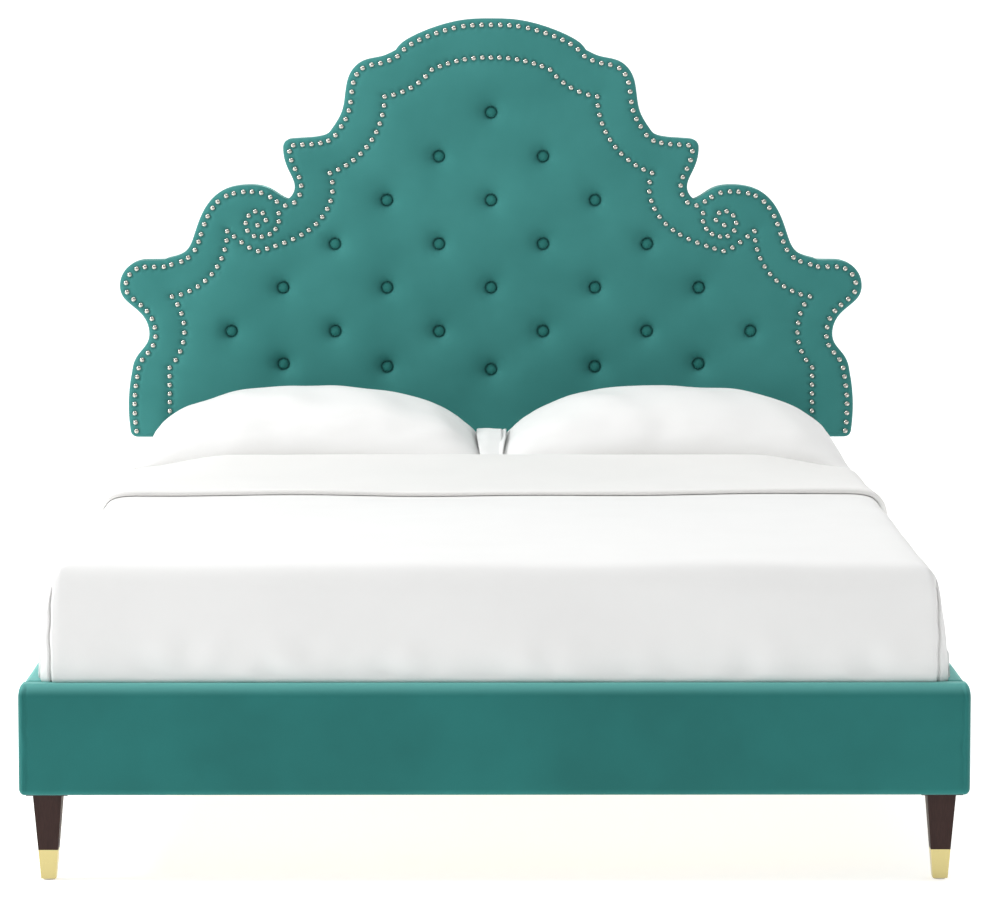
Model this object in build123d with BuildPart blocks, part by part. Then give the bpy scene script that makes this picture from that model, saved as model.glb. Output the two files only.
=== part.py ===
"""Upholstered headboard bed: slotted headboard, padded rails, slat deck, tapered legs and bedding.

Millimetres, +Z up. X runs across the bed, -Y is the foot end and +Y the head end. The origin is on
the floor under the middle of the whole bed.
"""
from build123d import *
import os

# ---- mattress and the gaps round it
mattress_width = 1524.0
mattress_length = 2032.0
mattress_height = 254.0
mattress_gap = 13.0            # to the side rails and the foot rail
headboard_gap = 5.0            # mattress head end to the headboard's face
ticking_thickness = 13.0
spring_diameter = 62.0
spring_wall = 1.2
spring_columns = 14
spring_rows = 19
spring_margin = 4.0            # outer springs to the quilted shell
mattress_corner = 70.0
mattress_edge = 22.0

# ---- padded rails
rail_thickness = 45.0
rail_height = 195.0
pad_outer = 9.0
pad_top = 6.0
pad_bottom = 3.0
rail_top_radius = 17.0
rail_bottom_radius = 8.0
rail_end_radius = 9.5

# ---- corner legs
leg_height = 152.0
leg_top_width = 50.0
leg_foot_width = 25.5
leg_inset = 23.0               # leg's outer faces behind the rails' outer faces
ferrule_height = 54.0
ferrule_wall = 1.0
glide_height = 3.0
glide_inset = 2.5
hanger_diameter = 8.0
hanger_in_leg = 42.0
hanger_above_plate = 26.0
hanger_clearance = 1.0         # round a hanger bolt above its plate, and twice that over its end

# ---- steel corner brackets and their bolts
bracket_thickness = 4.0
bracket_flange = 90.0
bracket_height = 82.0
leg_plate_margin = 11.0        # plate past the leg's sides
frame_bolt_diameter = 8.0
frame_bolt_length = 28.0
frame_bolt_head = 14.0
frame_bolt_head_height = 5.0
frame_bolt_levels = (32.0, 66.0)   # above the rail's bottom
frame_bolt_offset = 62.0

# ---- slat deck
deck_height = 287.0            # top of the slats above the floor
slat_count = 13
slat_width = 70.0
slat_thickness = 15.0
slat_end_clearance = 3.0
slat_end_margin = 45.0         # mattress end to the middle of the end slat
ledge_width = 25.0
ledge_height = 30.0
ledge_screws = 6
ledge_screw_level = 0.72       # share of the ledge's height below its top
ledge_screw_end = 120.0        # rail's end to its first ledge screw
ledge_screw_bite = 20.0        # depth in the side rail
beam_width = 60.0
beam_height = 40.0
hanger_plate = 3.0
hanger_length = 50.0
tape_width = 25.0
tape_thickness = 1.0
tape_offset = 400.0
screw_diameter = 4.5
screw_head = 9.0
screw_head_height = 2.5
screw_length = 28.0
screw_sink = 0.5
slat_edge_radius = 3.0

# ---- support leg under the centre beam
support_legs = 1
tube_width = 40.0
tube_wall = 2.0
tube_corner = 4.0
tube_plate_width = 56.0
tube_plate_length = 110.0
tube_plate_corner = 8.0
insert_depth = 26.0
stud_diameter = 10.0
stud_clearance = 0.05
stud_length = 60.0
pad_diameter = 34.0
pad_height = 8.0
pad_edge = 1.0
insert_flange = 3.0

# ---- headboard
headboard_width = 1614.0
headboard_height = 909.0
headboard_bottom = 573.0       # above the floor
headboard_depth = 70.0
backing_thickness = 1.0
board_thickness = 15.0
cover_thickness = 4.0
board_inset = 10.0
drawn_width = 1614.0           # width and height that the outline points are drawn at
drawn_height = 909.0

# ---- buttons and nails
button_diameter = 22.0
button_height = 9.0
button_sink = 14.0             # button's crown below the cover's face
button_pocket = 27.0
button_row_pitch = 95.0
button_half_pitch = 113.0
button_rows = 6
button_top_drop = 203.0        # headboard top to the first button
last_row_lift = 6.0
last_row_drop = 0.88           # share of a pitch from the last full row to the bottom row
twine_diameter = 2.0
twine_hole = 6.0
nail_diameter = 11.0
nail_height = 3.2
nail_pitch = 20.0
nail_edge = 14.5               # outer row inside the outline
scroll_pitch = 18.5
nail_spacing_slack = 0.02      # share of a pitch that a nail may come early
nail_edge_slack = 0.97         # share of the edge distance that a nail may come close

# ---- struts and their fasteners
strut_width = 80.0
strut_thickness = 28.0
strut_offset = 450.0
strut_bottom = 110.0
strut_overlap = 480.0          # length of strut behind the headboard
strut_screw_pitch = 150.0
strut_screws = 3
strut_screw_shift = 20.0       # each side of the strut's middle
strut_screw_cover = 3.0        # plywood left in front of a screw's tip
strut_corner = 3.0
travel_up = 60.0
travel_down = 12.0
clamp_diameter = 8.0
slot_clearance = 1.0
clamp_head = 18.0
clamp_head_height = 6.0
washer_diameter = 26.0
washer_thickness = 2.0
tnut_diameter = 20.0
tnut_thickness = 1.5
tnut_barrel = 11.0
tnut_length = 14.0
clamp_levels = (48.0, 148.0)   # above the rail's bottom

# ---- bedding
sheet_thickness = 1.2
cover_side_bulge = 33.0        # bed cover past the mattress above the rails
cover_wall = 6.0
cover_top = 7.5
cover_rail_gap = 5.0
cover_tuck = 50.0
cover_tuck_wall = 8.0
cover_length = 1500.0
cover_corner = 66.0
cover_edge = 40.0
band_corner = 70.0
band_edge = 44.0
cut_allowance = 200.0          # how far a shape runs on past the plane that trims it
band_length = 475.0
band_wall = 5.0
band_drop = 60.0
pillow_width = 752.0
pillow_depth = 460.0
pillow_height = 165.0
pillow_corner = 95.0
pillow_crown = 68.0
pillow_wall = 4.5
pillow_gap = 2.0
pillow_board_gap = 6.0
rest_gap = 0.4                 # between bedding pieces that only lie on each other

# ---- heights and lengths that follow from the sizes above
rail_bottom = leg_height
rail_top = rail_bottom + rail_height
bed_half_width = mattress_width / 2 + mattress_gap + rail_thickness
rail_inner_x = bed_half_width - rail_thickness
bed_length = (rail_thickness + mattress_gap + mattress_length + headboard_gap + headboard_depth
              + strut_thickness + washer_thickness + clamp_head_height)
foot_y = -bed_length / 2
foot_inner_y = foot_y + rail_thickness
mattress_foot_y = foot_inner_y + mattress_gap
mattress_head_y = mattress_foot_y + mattress_length
board_face_y = mattress_head_y + headboard_gap
head_y = board_face_y + headboard_depth
head_inner_y = head_y - rail_thickness
strut_back_y = head_y + strut_thickness
core_bottom = rail_bottom + pad_bottom
core_top = rail_top - pad_top
leg_x = bed_half_width - leg_inset - leg_top_width / 2
leg_from_end = leg_inset + leg_top_width / 2
mattress_top = deck_height + mattress_height
slat_bottom = deck_height - slat_thickness
beam_bottom = slat_bottom - beam_height

ENDS = ((foot_y, 1), (head_y, -1))     # outer face of each end rail and the way inwards
SIDES = (-1, 1)


def save(piece, name):
    """Label a finished piece and write its STEP file."""
    piece.part.label = name
    export_step(piece.part, f"parts/{name}.step")


def span(low, high):
    """Box that fills the space between two opposite corners."""
    size = [high[i] - low[i] for i in range(3)]
    middle = [(high[i] + low[i]) / 2 for i in range(3)]
    with Locations(tuple(middle)):
        return Box(*size)


def facing(y):
    """Plane at depth y whose outward side looks to the foot end."""
    return Plane.XZ.offset(-y)


def flat_at(z):
    """Level plane at height z."""
    return Plane.XY.offset(z)


def spread(first, last, count):
    """Evenly spaced values from first to last."""
    return [first + (last - first) * i / (count - 1) for i in range(count)]


# ---- headboard outline and rows of trim

def drawn(x, z):
    """Point of the drawn outline at the headboard's real width and height."""
    return (x * headboard_width / drawn_width,
            headboard_bottom + z * headboard_height / drawn_height)


def outline_runs(places):
    """Curves of the right half through their places: crown to bottom corner, in order."""
    tangents = (((1, 0), (0.55, -1)), ((1, -0.45), (1, -0.12)), None, None,
                ((0, -1), (1, -0.55)), ((1, 0.35), (1, 0)), None, ((0, -1), (0.1, -1)), None, None)
    curves = []
    for run, ends in zip(places, tangents):
        if ends:
            curves.append(Spline(*run, tangents=ends))
        elif len(run) == 2:
            curves.append(Line(*run))
        else:
            curves.append(ThreePointArc(*run))
    return curves


def half_outline(inset=0.0):
    """Right half of the outline: crown, neck, shoulder, notch, ear, waist and side.

    The inset moves every place inwards, square to the outline. A corner between two curves
    moves to where their moved edges meet.
    """
    crown = [(0, 909), (60, 906), (115, 893), (177, 867), (206, 841)]
    neck = [(206, 841), (231, 829), (277, 818), (305, 791), (316, 745), (325, 703), (345, 670),
            (386, 652)]
    shoulder = [(386, 652), (434, 649)]
    shoulder_end = [(434, 649), (446, 644), (451, 632)]
    notch = [(451, 632), (438, 579), (426, 539), (441, 518)]
    ear = [(441, 518), (480, 541), (530, 549), (588, 534), (622, 497), (645, 439), (672, 399),
           (709, 388), (751, 386)]
    lobe = [(751, 386), (790.6, 369.6), (807, 330)]
    waist = [(807, 330), (787, 292), (751, 256), (745, 213), (781, 147)]
    side = [(781, 147), (789, 90), (786, 15)]
    corner = [(786, 15), (782, 4), (771, 0)]
    runs = [[Vector(*drawn(x, z)) for x, z in run]
            for run in (crown, neck, shoulder, shoulder_end, notch, ear, lobe, waist, side, corner)]
    if not inset:
        return outline_runs(runs)
    with BuildLine(mode=Mode.PRIVATE):
        curves = outline_runs(runs)
    inward = []
    for curve, run in zip(curves, runs):
        ways = [curve % curve.param_at_point(place) for place in run]
        inward.append([Vector(way.Y, -way.X) for way in ways])
    for before, after in zip(inward, inward[1:]):
        both = before[-1] + after[0]
        before[-1] = after[0] = both / (1 + before[-1].dot(after[0]))
    moved = [[place + way * inset for place, way in zip(run, ways)]
             for run, ways in zip(runs, inward)]
    return outline_runs(moved)


def board_outline(y, inset=0.0):
    """Headboard face at depth y."""
    bottom = headboard_bottom + inset
    with BuildSketch(facing(y)) as face:
        with BuildLine():
            half = half_outline(inset)
            Line(half[-1] @ 1, (0, bottom))
            mirror(about=Plane.YZ)
        make_face()
    return face.sketch


def inner_row():
    """Right half of the line of nails round the tufted field, from the top to the bottom."""
    with BuildLine():
        neck = ThreePointArc(drawn(0, 824), drawn(68, 818), drawn(128, 798))
        collar = ThreePointArc(drawn(128, 798), drawn(177, 757), drawn(230, 740))
        shoulder = ThreePointArc(drawn(230, 740), drawn(259, 645), drawn(349, 575))
        sweep_out = Spline(drawn(349, 575), drawn(344, 555), drawn(390, 455), drawn(491, 409),
                           drawn(572, 449), tangents=((-0.3, -1), (0.75, 0.6)))
        flank = ThreePointArc(drawn(572, 449), drawn(606, 356), drawn(693, 307))
        hip = ThreePointArc(drawn(693, 307), drawn(668, 214), drawn(699, 152))
        fall = Line(drawn(699, 152), drawn(699, 20))
    return [neck, collar, shoulder, sweep_out, flank, hip, fall]


def walk(places, pitch):
    """Places picked about one pitch apart along a chain of close places, ends included."""
    length = sum((b - a).length for a, b in zip(places, places[1:]))
    step = length / round(length / pitch)
    picked = [places[0]]
    gone = 0.0
    for a, b in zip(places, places[1:]):
        gone += (b - a).length
        if gone >= step * (len(picked) - nail_spacing_slack):
            picked.append(b)
    return picked


def on_face(places):
    """Places of a right half and their mirror images, moved on to the headboard's face."""
    right = [Vector(place.X, board_face_y, place.Y) for place in places]
    left = [Vector(-place.X, board_face_y, place.Y) for place in places if place.X > 1.0]
    return right + left


def outer_nail_points():
    """Nail centres that follow the outline a fixed distance inside it."""
    with BuildLine():
        curves = half_outline()
    samples = [(curve @ (i / 120), curve % (i / 120)) for curve in curves for i in range(120)]
    edge = [place for place, _ in samples]
    inside = [place + Vector(tangent.Y, -tangent.X) * nail_edge for place, tangent in samples]
    clear = [spot for spot in inside
             if min((spot - place).length for place in edge) > nail_edge * nail_edge_slack]
    return on_face(walk(clear, nail_pitch))


def inner_nail_points():
    """Nail centres of both halves of the inner row, with one on each of its corners."""
    places = []
    for curve in inner_row():
        samples = [curve @ (i / 200) for i in range(201)]
        places += walk(samples, nail_pitch)[:-1]
    return on_face(places)


def scroll_nail_points():
    """Nail centres of the two scrolls that curl in from the outer row to a nail in the middle."""
    x, z = drawn(502, 466)
    with BuildLine():
        hook = ThreePointArc((x - 42, z + 22), (x - 34, z - 13), (x - 4, z - 29))
        ring = ThreePointArc((x - 4, z - 29), (x + 30, z - 1), (x + 9, z + 26))
        curl = ThreePointArc((x + 9, z + 26), (x - 8, z + 22), (x - 14, z + 7))
    places = [curve @ (i / 60) for curve in (hook, ring, curl) for i in range(60)]
    return on_face(walk(places + [curl @ 1], scroll_pitch) + [Vector(x + 4, z - 4)])


def button_points():
    """Button centres of the diamond field: one at the top, one more in each row below."""
    middle = headboard_bottom + headboard_height
    spots = []
    for row in range(button_rows):
        z = middle - button_top_drop - row * button_row_pitch
        for i in range(row + 1):
            spots.append((button_half_pitch * (2 * i - row), z))
    z = middle - button_top_drop - (button_rows - 1 + last_row_drop) * button_row_pitch
    for i in (-2, -1, 0, 1, 2):
        spots.append((2 * i * button_half_pitch, z + last_row_lift * abs(i)))
    return spots


button_spots = button_points()


# ---- headboard pieces

def make_board():
    """Plywood board with a hole behind each button."""
    back = head_y - backing_thickness
    with BuildPart() as board:
        extrude(board_outline(back, board_inset), amount=board_thickness)
        with BuildSketch(facing(back)):
            with Locations(*button_spots):
                Circle(twine_hole / 2)
        extrude(amount=board_thickness, mode=Mode.SUBTRACT)
        add(strut_screw_group.part, mode=Mode.SUBTRACT)
    return board


def make_backing():
    """Dust cloth stapled over the back of the board."""
    with BuildPart() as backing:
        extrude(board_outline(head_y, board_inset), amount=backing_thickness)
        add(strut_screw_group.part, mode=Mode.SUBTRACT)
    return backing


def make_foam():
    """Foam pad over the board, with a pocket under each button."""
    board_front = head_y - backing_thickness - board_thickness
    depth = board_front - board_face_y - cover_thickness
    with BuildPart() as foam:
        extrude(board_outline(board_front, board_inset), amount=depth)
        with BuildSketch(facing(board_front)):
            with Locations(*button_spots):
                Circle(twine_hole / 2)
        extrude(amount=depth, mode=Mode.SUBTRACT)
        with BuildSketch(facing(board_face_y + button_sink + button_height)):
            with Locations(*button_spots):
                Circle(button_pocket / 2)
        extrude(amount=button_sink + button_height, mode=Mode.SUBTRACT)
    return foam


def make_headboard_cover():
    """Velvet over the foam's face and round its sides, open at the back and under the buttons."""
    with BuildPart() as cover:
        extrude(board_outline(head_y), amount=headboard_depth)
        extrude(board_outline(head_y, board_inset), amount=headboard_depth - cover_thickness,
                mode=Mode.SUBTRACT)
        with BuildSketch(facing(board_face_y + cover_thickness)):
            with Locations(*button_spots):
                Circle(button_pocket / 2)
        extrude(amount=cover_thickness, mode=Mode.SUBTRACT)
    return cover


def dome(diameter, height):
    """Spherical cap that stands on the plane y = 0 and bulges to the foot end."""
    radius = ((diameter / 2) ** 2 + height ** 2) / (2 * height)
    with BuildPart() as cap:
        with Locations((0, radius - height, 0)):
            Sphere(radius)
        split(bisect_by=Plane.XZ, keep=Keep.TOP)
    return cap.part


def make_buttons():
    """Velvet-covered buttons, domed at the front and flat where they press on the foam."""
    seat_y = board_face_y + button_sink + button_height
    crown = dome(button_diameter, button_height)
    with BuildPart() as buttons:
        with Locations(*[(x, seat_y, z) for x, z in button_spots]):
            add(crown)
    return buttons


def make_twines():
    """Twines that pull the buttons back to the board."""
    seat_y = board_face_y + button_sink + button_height
    with BuildPart() as twines:
        with BuildSketch(facing(head_y - backing_thickness)):
            with Locations(*button_spots):
                Circle(twine_diameter / 2)
        extrude(amount=head_y - backing_thickness - seat_y)
    return twines


def make_nails(spots):
    """Domed nail heads that sit on the cover's face."""
    head = dome(nail_diameter, nail_height)
    with BuildPart() as nails:
        with Locations(*spots):
            add(head)
    return nails


def make_strut(side):
    """Timber strut with two slots that let the headboard slide on its clamp bolts."""
    centre_x = side * strut_offset
    top = headboard_bottom + strut_overlap
    slot_width = clamp_diameter + slot_clearance
    slot_length = travel_up + travel_down + slot_width
    with BuildPart() as strut:
        span((centre_x - strut_width / 2, head_y, strut_bottom),
             (centre_x + strut_width / 2, strut_back_y, top))
        fillet(strut.edges().filter_by(Axis.Z), strut_corner)
        slot_spots = [(centre_x, rail_bottom + level + (travel_down - travel_up) / 2)
                      for level in clamp_levels]
        with BuildSketch(facing(strut_back_y)):
            with Locations(*slot_spots):
                SlotOverall(slot_length, slot_width, rotation=90)
        extrude(amount=strut_thickness, mode=Mode.SUBTRACT)
        add(strut_screw_group.part, mode=Mode.SUBTRACT)
    return strut


def strut_screw_points():
    """Centres of the screws that hold the struts to the board."""
    first = headboard_bottom + strut_overlap / 2 - strut_screw_pitch
    heights = [first + i * strut_screw_pitch for i in range(strut_screws)]
    return [(side * strut_offset + shift, z)
            for side in SIDES for z in heights for shift in (-strut_screw_shift, strut_screw_shift)]


def make_strut_screws():
    """Screws through struts and backing into the board, heads flush in the struts' backs."""
    with BuildPart() as screws:
        with BuildSketch(facing(strut_back_y)):
            with Locations(*strut_screw_points()):
                Circle(screw_diameter / 2)
        extrude(amount=strut_thickness + backing_thickness + board_thickness - strut_screw_cover)
        with BuildSketch(facing(strut_back_y)):
            with Locations(*strut_screw_points()):
                Circle(screw_head / 2)
        extrude(amount=screw_head_height)
    return screws


# ---- clamp bolts that hold the struts to the head rail

def clamp_points():
    """Centres of the four clamp bolts."""
    return [(side * strut_offset, rail_bottom + level) for side in SIDES for level in clamp_levels]


def make_clamp_bolts():
    """Clamp bolts, each with a round head behind its washer."""
    with BuildPart() as bolts:
        with BuildSketch(facing(strut_back_y + washer_thickness)):
            with Locations(*clamp_points()):
                Circle(clamp_diameter / 2)
        extrude(amount=washer_thickness + strut_thickness + rail_thickness - pad_top)
        with BuildSketch(facing(strut_back_y + washer_thickness + clamp_head_height)):
            with Locations(*clamp_points()):
                RegularPolygon(clamp_head / 2, 6)
        extrude(amount=clamp_head_height)
    return bolts


def make_clamp_washers():
    """Large washers that bridge the struts' slots."""
    with BuildPart() as washers:
        with BuildSketch(facing(strut_back_y + washer_thickness)):
            with Locations(*clamp_points()):
                Circle(washer_diameter / 2)
                Circle(clamp_diameter / 2, mode=Mode.SUBTRACT)
        extrude(amount=washer_thickness)
    return washers


def make_clamp_nuts():
    """T-nuts let into the head rail's inner face."""
    with BuildPart() as nuts:
        with BuildSketch(facing(head_inner_y + tnut_length)):
            with Locations(*clamp_points()):
                Circle(tnut_barrel / 2)
        extrude(amount=tnut_length)
        with BuildSketch(facing(head_inner_y + tnut_thickness)):
            with Locations(*clamp_points()):
                Circle(tnut_diameter / 2)
        extrude(amount=tnut_thickness)
        add(clamp_bolts.part, mode=Mode.SUBTRACT)
    return nuts


# ---- corner hardware

def corner_spots():
    """Each corner as its side, the outer face of its end rail and the way inwards."""
    return [(side, end, inward) for end, inward in ENDS for side in SIDES]


def make_frame_bolts():
    """Bolts that hold the brackets' flanges to the rails."""
    shank = frame_bolt_diameter / 2
    head = frame_bolt_head / 2
    reach = frame_bolt_length + bracket_thickness
    with BuildPart() as bolts:
        for side, end, inward in corner_spots():
            inner_y = end + inward * rail_thickness
            for level in frame_bolt_levels:
                z = rail_bottom + level
                x = side * (rail_inner_x - frame_bolt_offset)
                y = inner_y + inward * bracket_thickness
                with Locations(Plane((x, y, z), z_dir=(0, -inward, 0))):
                    Cylinder(shank, reach, align=(Align.CENTER, Align.CENTER, Align.MIN))
                with Locations(Plane((x, y, z), z_dir=(0, inward, 0))):
                    Cylinder(head, frame_bolt_head_height,
                             align=(Align.CENTER, Align.CENTER, Align.MIN))
                x = side * (rail_inner_x - bracket_thickness)
                y = inner_y + inward * frame_bolt_offset
                with Locations(Plane((x, y, z), z_dir=(side, 0, 0))):
                    Cylinder(shank, reach, align=(Align.CENTER, Align.CENTER, Align.MIN))
                with Locations(Plane((x, y, z), z_dir=(-side, 0, 0))):
                    Cylinder(head, frame_bolt_head_height,
                             align=(Align.CENTER, Align.CENTER, Align.MIN))
    return bolts


def make_hanger_bolts():
    """Bolts that run from each leg up through its bracket's plate."""
    length = hanger_in_leg + pad_bottom + hanger_above_plate
    with BuildPart() as bolts:
        for side, end, inward in corner_spots():
            with Locations((side * leg_x, end + inward * leg_from_end, leg_height - hanger_in_leg)):
                Cylinder(hanger_diameter / 2, length,
                         align=(Align.CENTER, Align.CENTER, Align.MIN))
    return bolts


def make_hanger_rooms():
    """Clearance round the hanger bolts above the plates, cut from rails and flanges."""
    with BuildPart() as rooms:
        for side, end, inward in corner_spots():
            with Locations((side * leg_x, end + inward * leg_from_end, core_bottom)):
                Cylinder(hanger_diameter / 2 + hanger_clearance,
                         hanger_above_plate + 2 * hanger_clearance,
                         align=(Align.CENTER, Align.CENTER, Align.MIN))
    return rooms


def plate_corners(side, end, inward):
    """Opposite corners, in plan, of the leg plate at one corner."""
    half = leg_top_width / 2 + leg_plate_margin
    x = side * leg_x
    y = end + inward * leg_from_end
    return (x - half, y - half), (x + half, y + half)


def make_corner_bracket(side, end, inward):
    """Steel angle inside one corner with the leg's plate welded under it."""
    inner_y = end + inward * rail_thickness
    inner_x = side * rail_inner_x
    top = core_bottom + bracket_height
    low, high = plate_corners(side, end, inward)
    flange_x = sorted((inner_x, inner_x - side * bracket_flange))
    web_x = sorted((inner_x, inner_x - side * bracket_thickness))
    flange_y = sorted((inner_y, inner_y + inward * bracket_thickness))
    web_y = sorted((inner_y, inner_y + inward * bracket_flange))
    with BuildPart() as bracket:
        span((flange_x[0], flange_y[0], core_bottom), (flange_x[1], flange_y[1], top))
        span((web_x[0], web_y[0], core_bottom), (web_x[1], web_y[1], top))
        span((low[0], low[1], rail_bottom), (high[0], high[1], core_bottom))
        add(frame_bolts.part, mode=Mode.SUBTRACT)
        add(hanger_bolts.part, mode=Mode.SUBTRACT)
        add(hanger_rooms.part, mode=Mode.SUBTRACT)
    return bracket


def make_plate_rooms():
    """Spaces for the four leg plates, cut from the rails' padding."""
    with BuildPart() as rooms:
        for side, end, inward in corner_spots():
            low, high = plate_corners(side, end, inward)
            span((low[0], low[1], rail_bottom), (high[0], high[1], core_bottom))
    return rooms


# ---- rails

def make_end_core(end, inward):
    """Timber core of the foot or head rail."""
    outer = end + inward * pad_outer
    inner = end + inward * rail_thickness
    low_y, high_y = sorted((outer, inner))
    half = bed_half_width - pad_outer
    with BuildPart() as core:
        span((-half, low_y, core_bottom), (half, high_y, core_top))
        for fastener in (frame_bolts, hanger_rooms, clamp_bolts, clamp_nuts):
            add(fastener.part, mode=Mode.SUBTRACT)
    return core


def make_rail_cover(low, high, core_low, core_high, outer_axis, length_axis):
    """Padding round a rail core: rounded at the top and bottom of its outer face."""
    with BuildPart() as cover:
        span(low, high)
        outer = cover.faces().sort_by(outer_axis)[0]
        long_edges = outer.edges().filter_by(length_axis).sort_by(Axis.Z)
        top_edge = long_edges[-1]
        bottom_edge = long_edges[0]
        fillet(top_edge, rail_top_radius)
        fillet(bottom_edge, rail_bottom_radius)
        if length_axis == Axis.X:
            upright = cover.faces().sort_by(outer_axis)[0].edges().filter_by(Axis.Z)
            fillet(upright, rail_end_radius)
        with Locations(tuple((core_low[i] + core_high[i]) / 2 for i in range(3))):
            Box(*[core_high[i] - core_low[i] for i in range(3)], mode=Mode.SUBTRACT)
        add(plate_rooms.part, mode=Mode.SUBTRACT)
        add(clamp_bolts.part, mode=Mode.SUBTRACT)
    return cover


def make_end_rail_cover(end, inward):
    """Padded velvet round the foot or head rail."""
    low_y, high_y = sorted((end, end + inward * rail_thickness))
    core_low_y, core_high_y = sorted((end + inward * pad_outer, end + inward * rail_thickness))
    core_half = bed_half_width - pad_outer
    outer_axis = Axis((0, 0, 0), (0, inward, 0))
    return make_rail_cover((-bed_half_width, low_y, rail_bottom),
                           (bed_half_width, high_y, rail_top),
                           (-core_half, core_low_y, core_bottom),
                           (core_half, core_high_y, core_top), outer_axis, Axis.X)


def make_side_core(side):
    """Timber core of a side rail."""
    low_x, high_x = sorted((side * rail_inner_x, side * (bed_half_width - pad_outer)))
    with BuildPart() as core:
        span((low_x, foot_inner_y, core_bottom), (high_x, head_inner_y, core_top))
        for fastener in (frame_bolts, hanger_rooms, ledge_screw_group):
            add(fastener.part, mode=Mode.SUBTRACT)
    return core


def make_side_rail_cover(side):
    """Padded velvet round a side rail."""
    low_x, high_x = sorted((side * rail_inner_x, side * bed_half_width))
    core_low_x, core_high_x = sorted((side * rail_inner_x, side * (bed_half_width - pad_outer)))
    outer_axis = Axis((0, 0, 0), (-side, 0, 0))
    return make_rail_cover((low_x, foot_inner_y, rail_bottom), (high_x, head_inner_y, rail_top),
                           (core_low_x, foot_inner_y, core_bottom),
                           (core_high_x, head_inner_y, core_top), outer_axis, Axis.Y)


# ---- corner legs

def leg_width(z):
    """Width of a leg's square section at height z."""
    return leg_foot_width + (leg_top_width - leg_foot_width) * z / leg_height


def tapered(x, y, low, high, shrink=0.0):
    """Square tapered bar between two heights, with each side moved in by shrink."""
    with BuildPart(mode=Mode.PRIVATE) as bar:
        with BuildSketch(Plane((x, y, low))):
            Rectangle(leg_width(low) - 2 * shrink, leg_width(low) - 2 * shrink)
        with BuildSketch(Plane((x, y, high))):
            Rectangle(leg_width(high) - 2 * shrink, leg_width(high) - 2 * shrink)
        loft()
    return bar.part


def leg_axis(side, end, inward):
    """Plan position of a leg's middle."""
    return side * leg_x, end + inward * leg_from_end


def make_leg(side, end, inward):
    """Tapered timber leg with a slimmer foot inside the ferrule."""
    x, y = leg_axis(side, end, inward)
    upper = tapered(x, y, ferrule_height, leg_height)
    foot = tapered(x, y, glide_height + ferrule_wall, ferrule_height, ferrule_wall)
    with BuildPart() as leg:
        add(upper)
        add(foot)
        add(hanger_bolts.part, mode=Mode.SUBTRACT)
    return leg


def make_ferrules():
    """Brass caps round the legs' feet."""
    with BuildPart() as ferrules:
        add([tapered(*leg_axis(*corner), glide_height, ferrule_height)
             for corner in corner_spots()])
        add([tapered(*leg_axis(*corner), glide_height + ferrule_wall, ferrule_height, ferrule_wall)
             for corner in corner_spots()], mode=Mode.SUBTRACT)
    return ferrules


def make_glides():
    """Nylon glides under the ferrules."""
    with BuildPart() as glides:
        with BuildSketch(flat_at(0)):
            with Locations(*[leg_axis(*corner) for corner in corner_spots()]):
                Circle(leg_foot_width / 2 - glide_inset)
        extrude(amount=glide_height)
    return glides


# ---- slat deck

def slat_positions():
    """Middle of each slat along the bed."""
    return spread(mattress_foot_y + slat_end_margin, mattress_head_y - slat_end_margin, slat_count)


def make_ledge_screws():
    """Screws through the ledges into the side rails."""
    spots = spread(foot_inner_y + ledge_screw_end, head_inner_y - ledge_screw_end, ledge_screws)
    z = slat_bottom - ledge_height * ledge_screw_level
    with BuildPart() as screws:
        for side in SIDES:
            for y in spots:
                inner = side * (rail_inner_x - ledge_width)
                with Locations(Plane((inner, y, z), z_dir=(side, 0, 0))):
                    Cylinder(screw_diameter / 2, ledge_width + ledge_screw_bite,
                             align=(Align.CENTER, Align.CENTER, Align.MIN))
                    Cylinder(screw_head / 2, screw_head_height,
                             align=(Align.CENTER, Align.CENTER, Align.MIN))
    return screws


def make_slat_screws():
    """Screws that hold each slat to both ledges and to the centre beam."""
    with BuildPart() as screws:
        with BuildSketch(flat_at(deck_height - screw_sink)):
            with Locations(*slat_screw_points()):
                Circle(screw_diameter / 2)
        extrude(amount=-screw_length)
        with BuildSketch(flat_at(deck_height - screw_sink)):
            with Locations(*slat_screw_points()):
                Circle(screw_head / 2)
        extrude(amount=-screw_head_height)
    return screws


def make_ledge(side):
    """Timber ledge that carries the slats' ends."""
    low_x, high_x = sorted((side * rail_inner_x, side * (rail_inner_x - ledge_width)))
    with BuildPart() as ledge:
        span((low_x, foot_inner_y, slat_bottom - ledge_height), (high_x, head_inner_y, slat_bottom))
        add(ledge_screw_group.part, mode=Mode.SUBTRACT)
        add(slat_screw_group.part, mode=Mode.SUBTRACT)
    return ledge


def slat_screw_points():
    """Plan positions of the screws at both ends and the middle of every slat."""
    reach = rail_inner_x - ledge_width / 2
    return [(x, y) for y in slat_positions() for x in (-reach, 0.0, reach)]


def make_slats():
    """Slats, eased along their long edges, with their screw holes."""
    half = rail_inner_x - slat_end_clearance
    with BuildPart() as slats:
        for y in slat_positions():
            span((-half, y - slat_width / 2, slat_bottom), (half, y + slat_width / 2, deck_height))
        fillet(slats.edges().filter_by(Axis.X), slat_edge_radius)
        with BuildSketch(flat_at(deck_height)):
            with Locations(*slat_screw_points()):
                Circle(screw_head / 2)
        extrude(amount=-screw_head_height - screw_sink, mode=Mode.SUBTRACT)
        with BuildSketch(flat_at(deck_height)):
            with Locations(*slat_screw_points()):
                Circle(screw_diameter / 2)
        extrude(amount=-slat_thickness, mode=Mode.SUBTRACT)
    return slats


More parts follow.
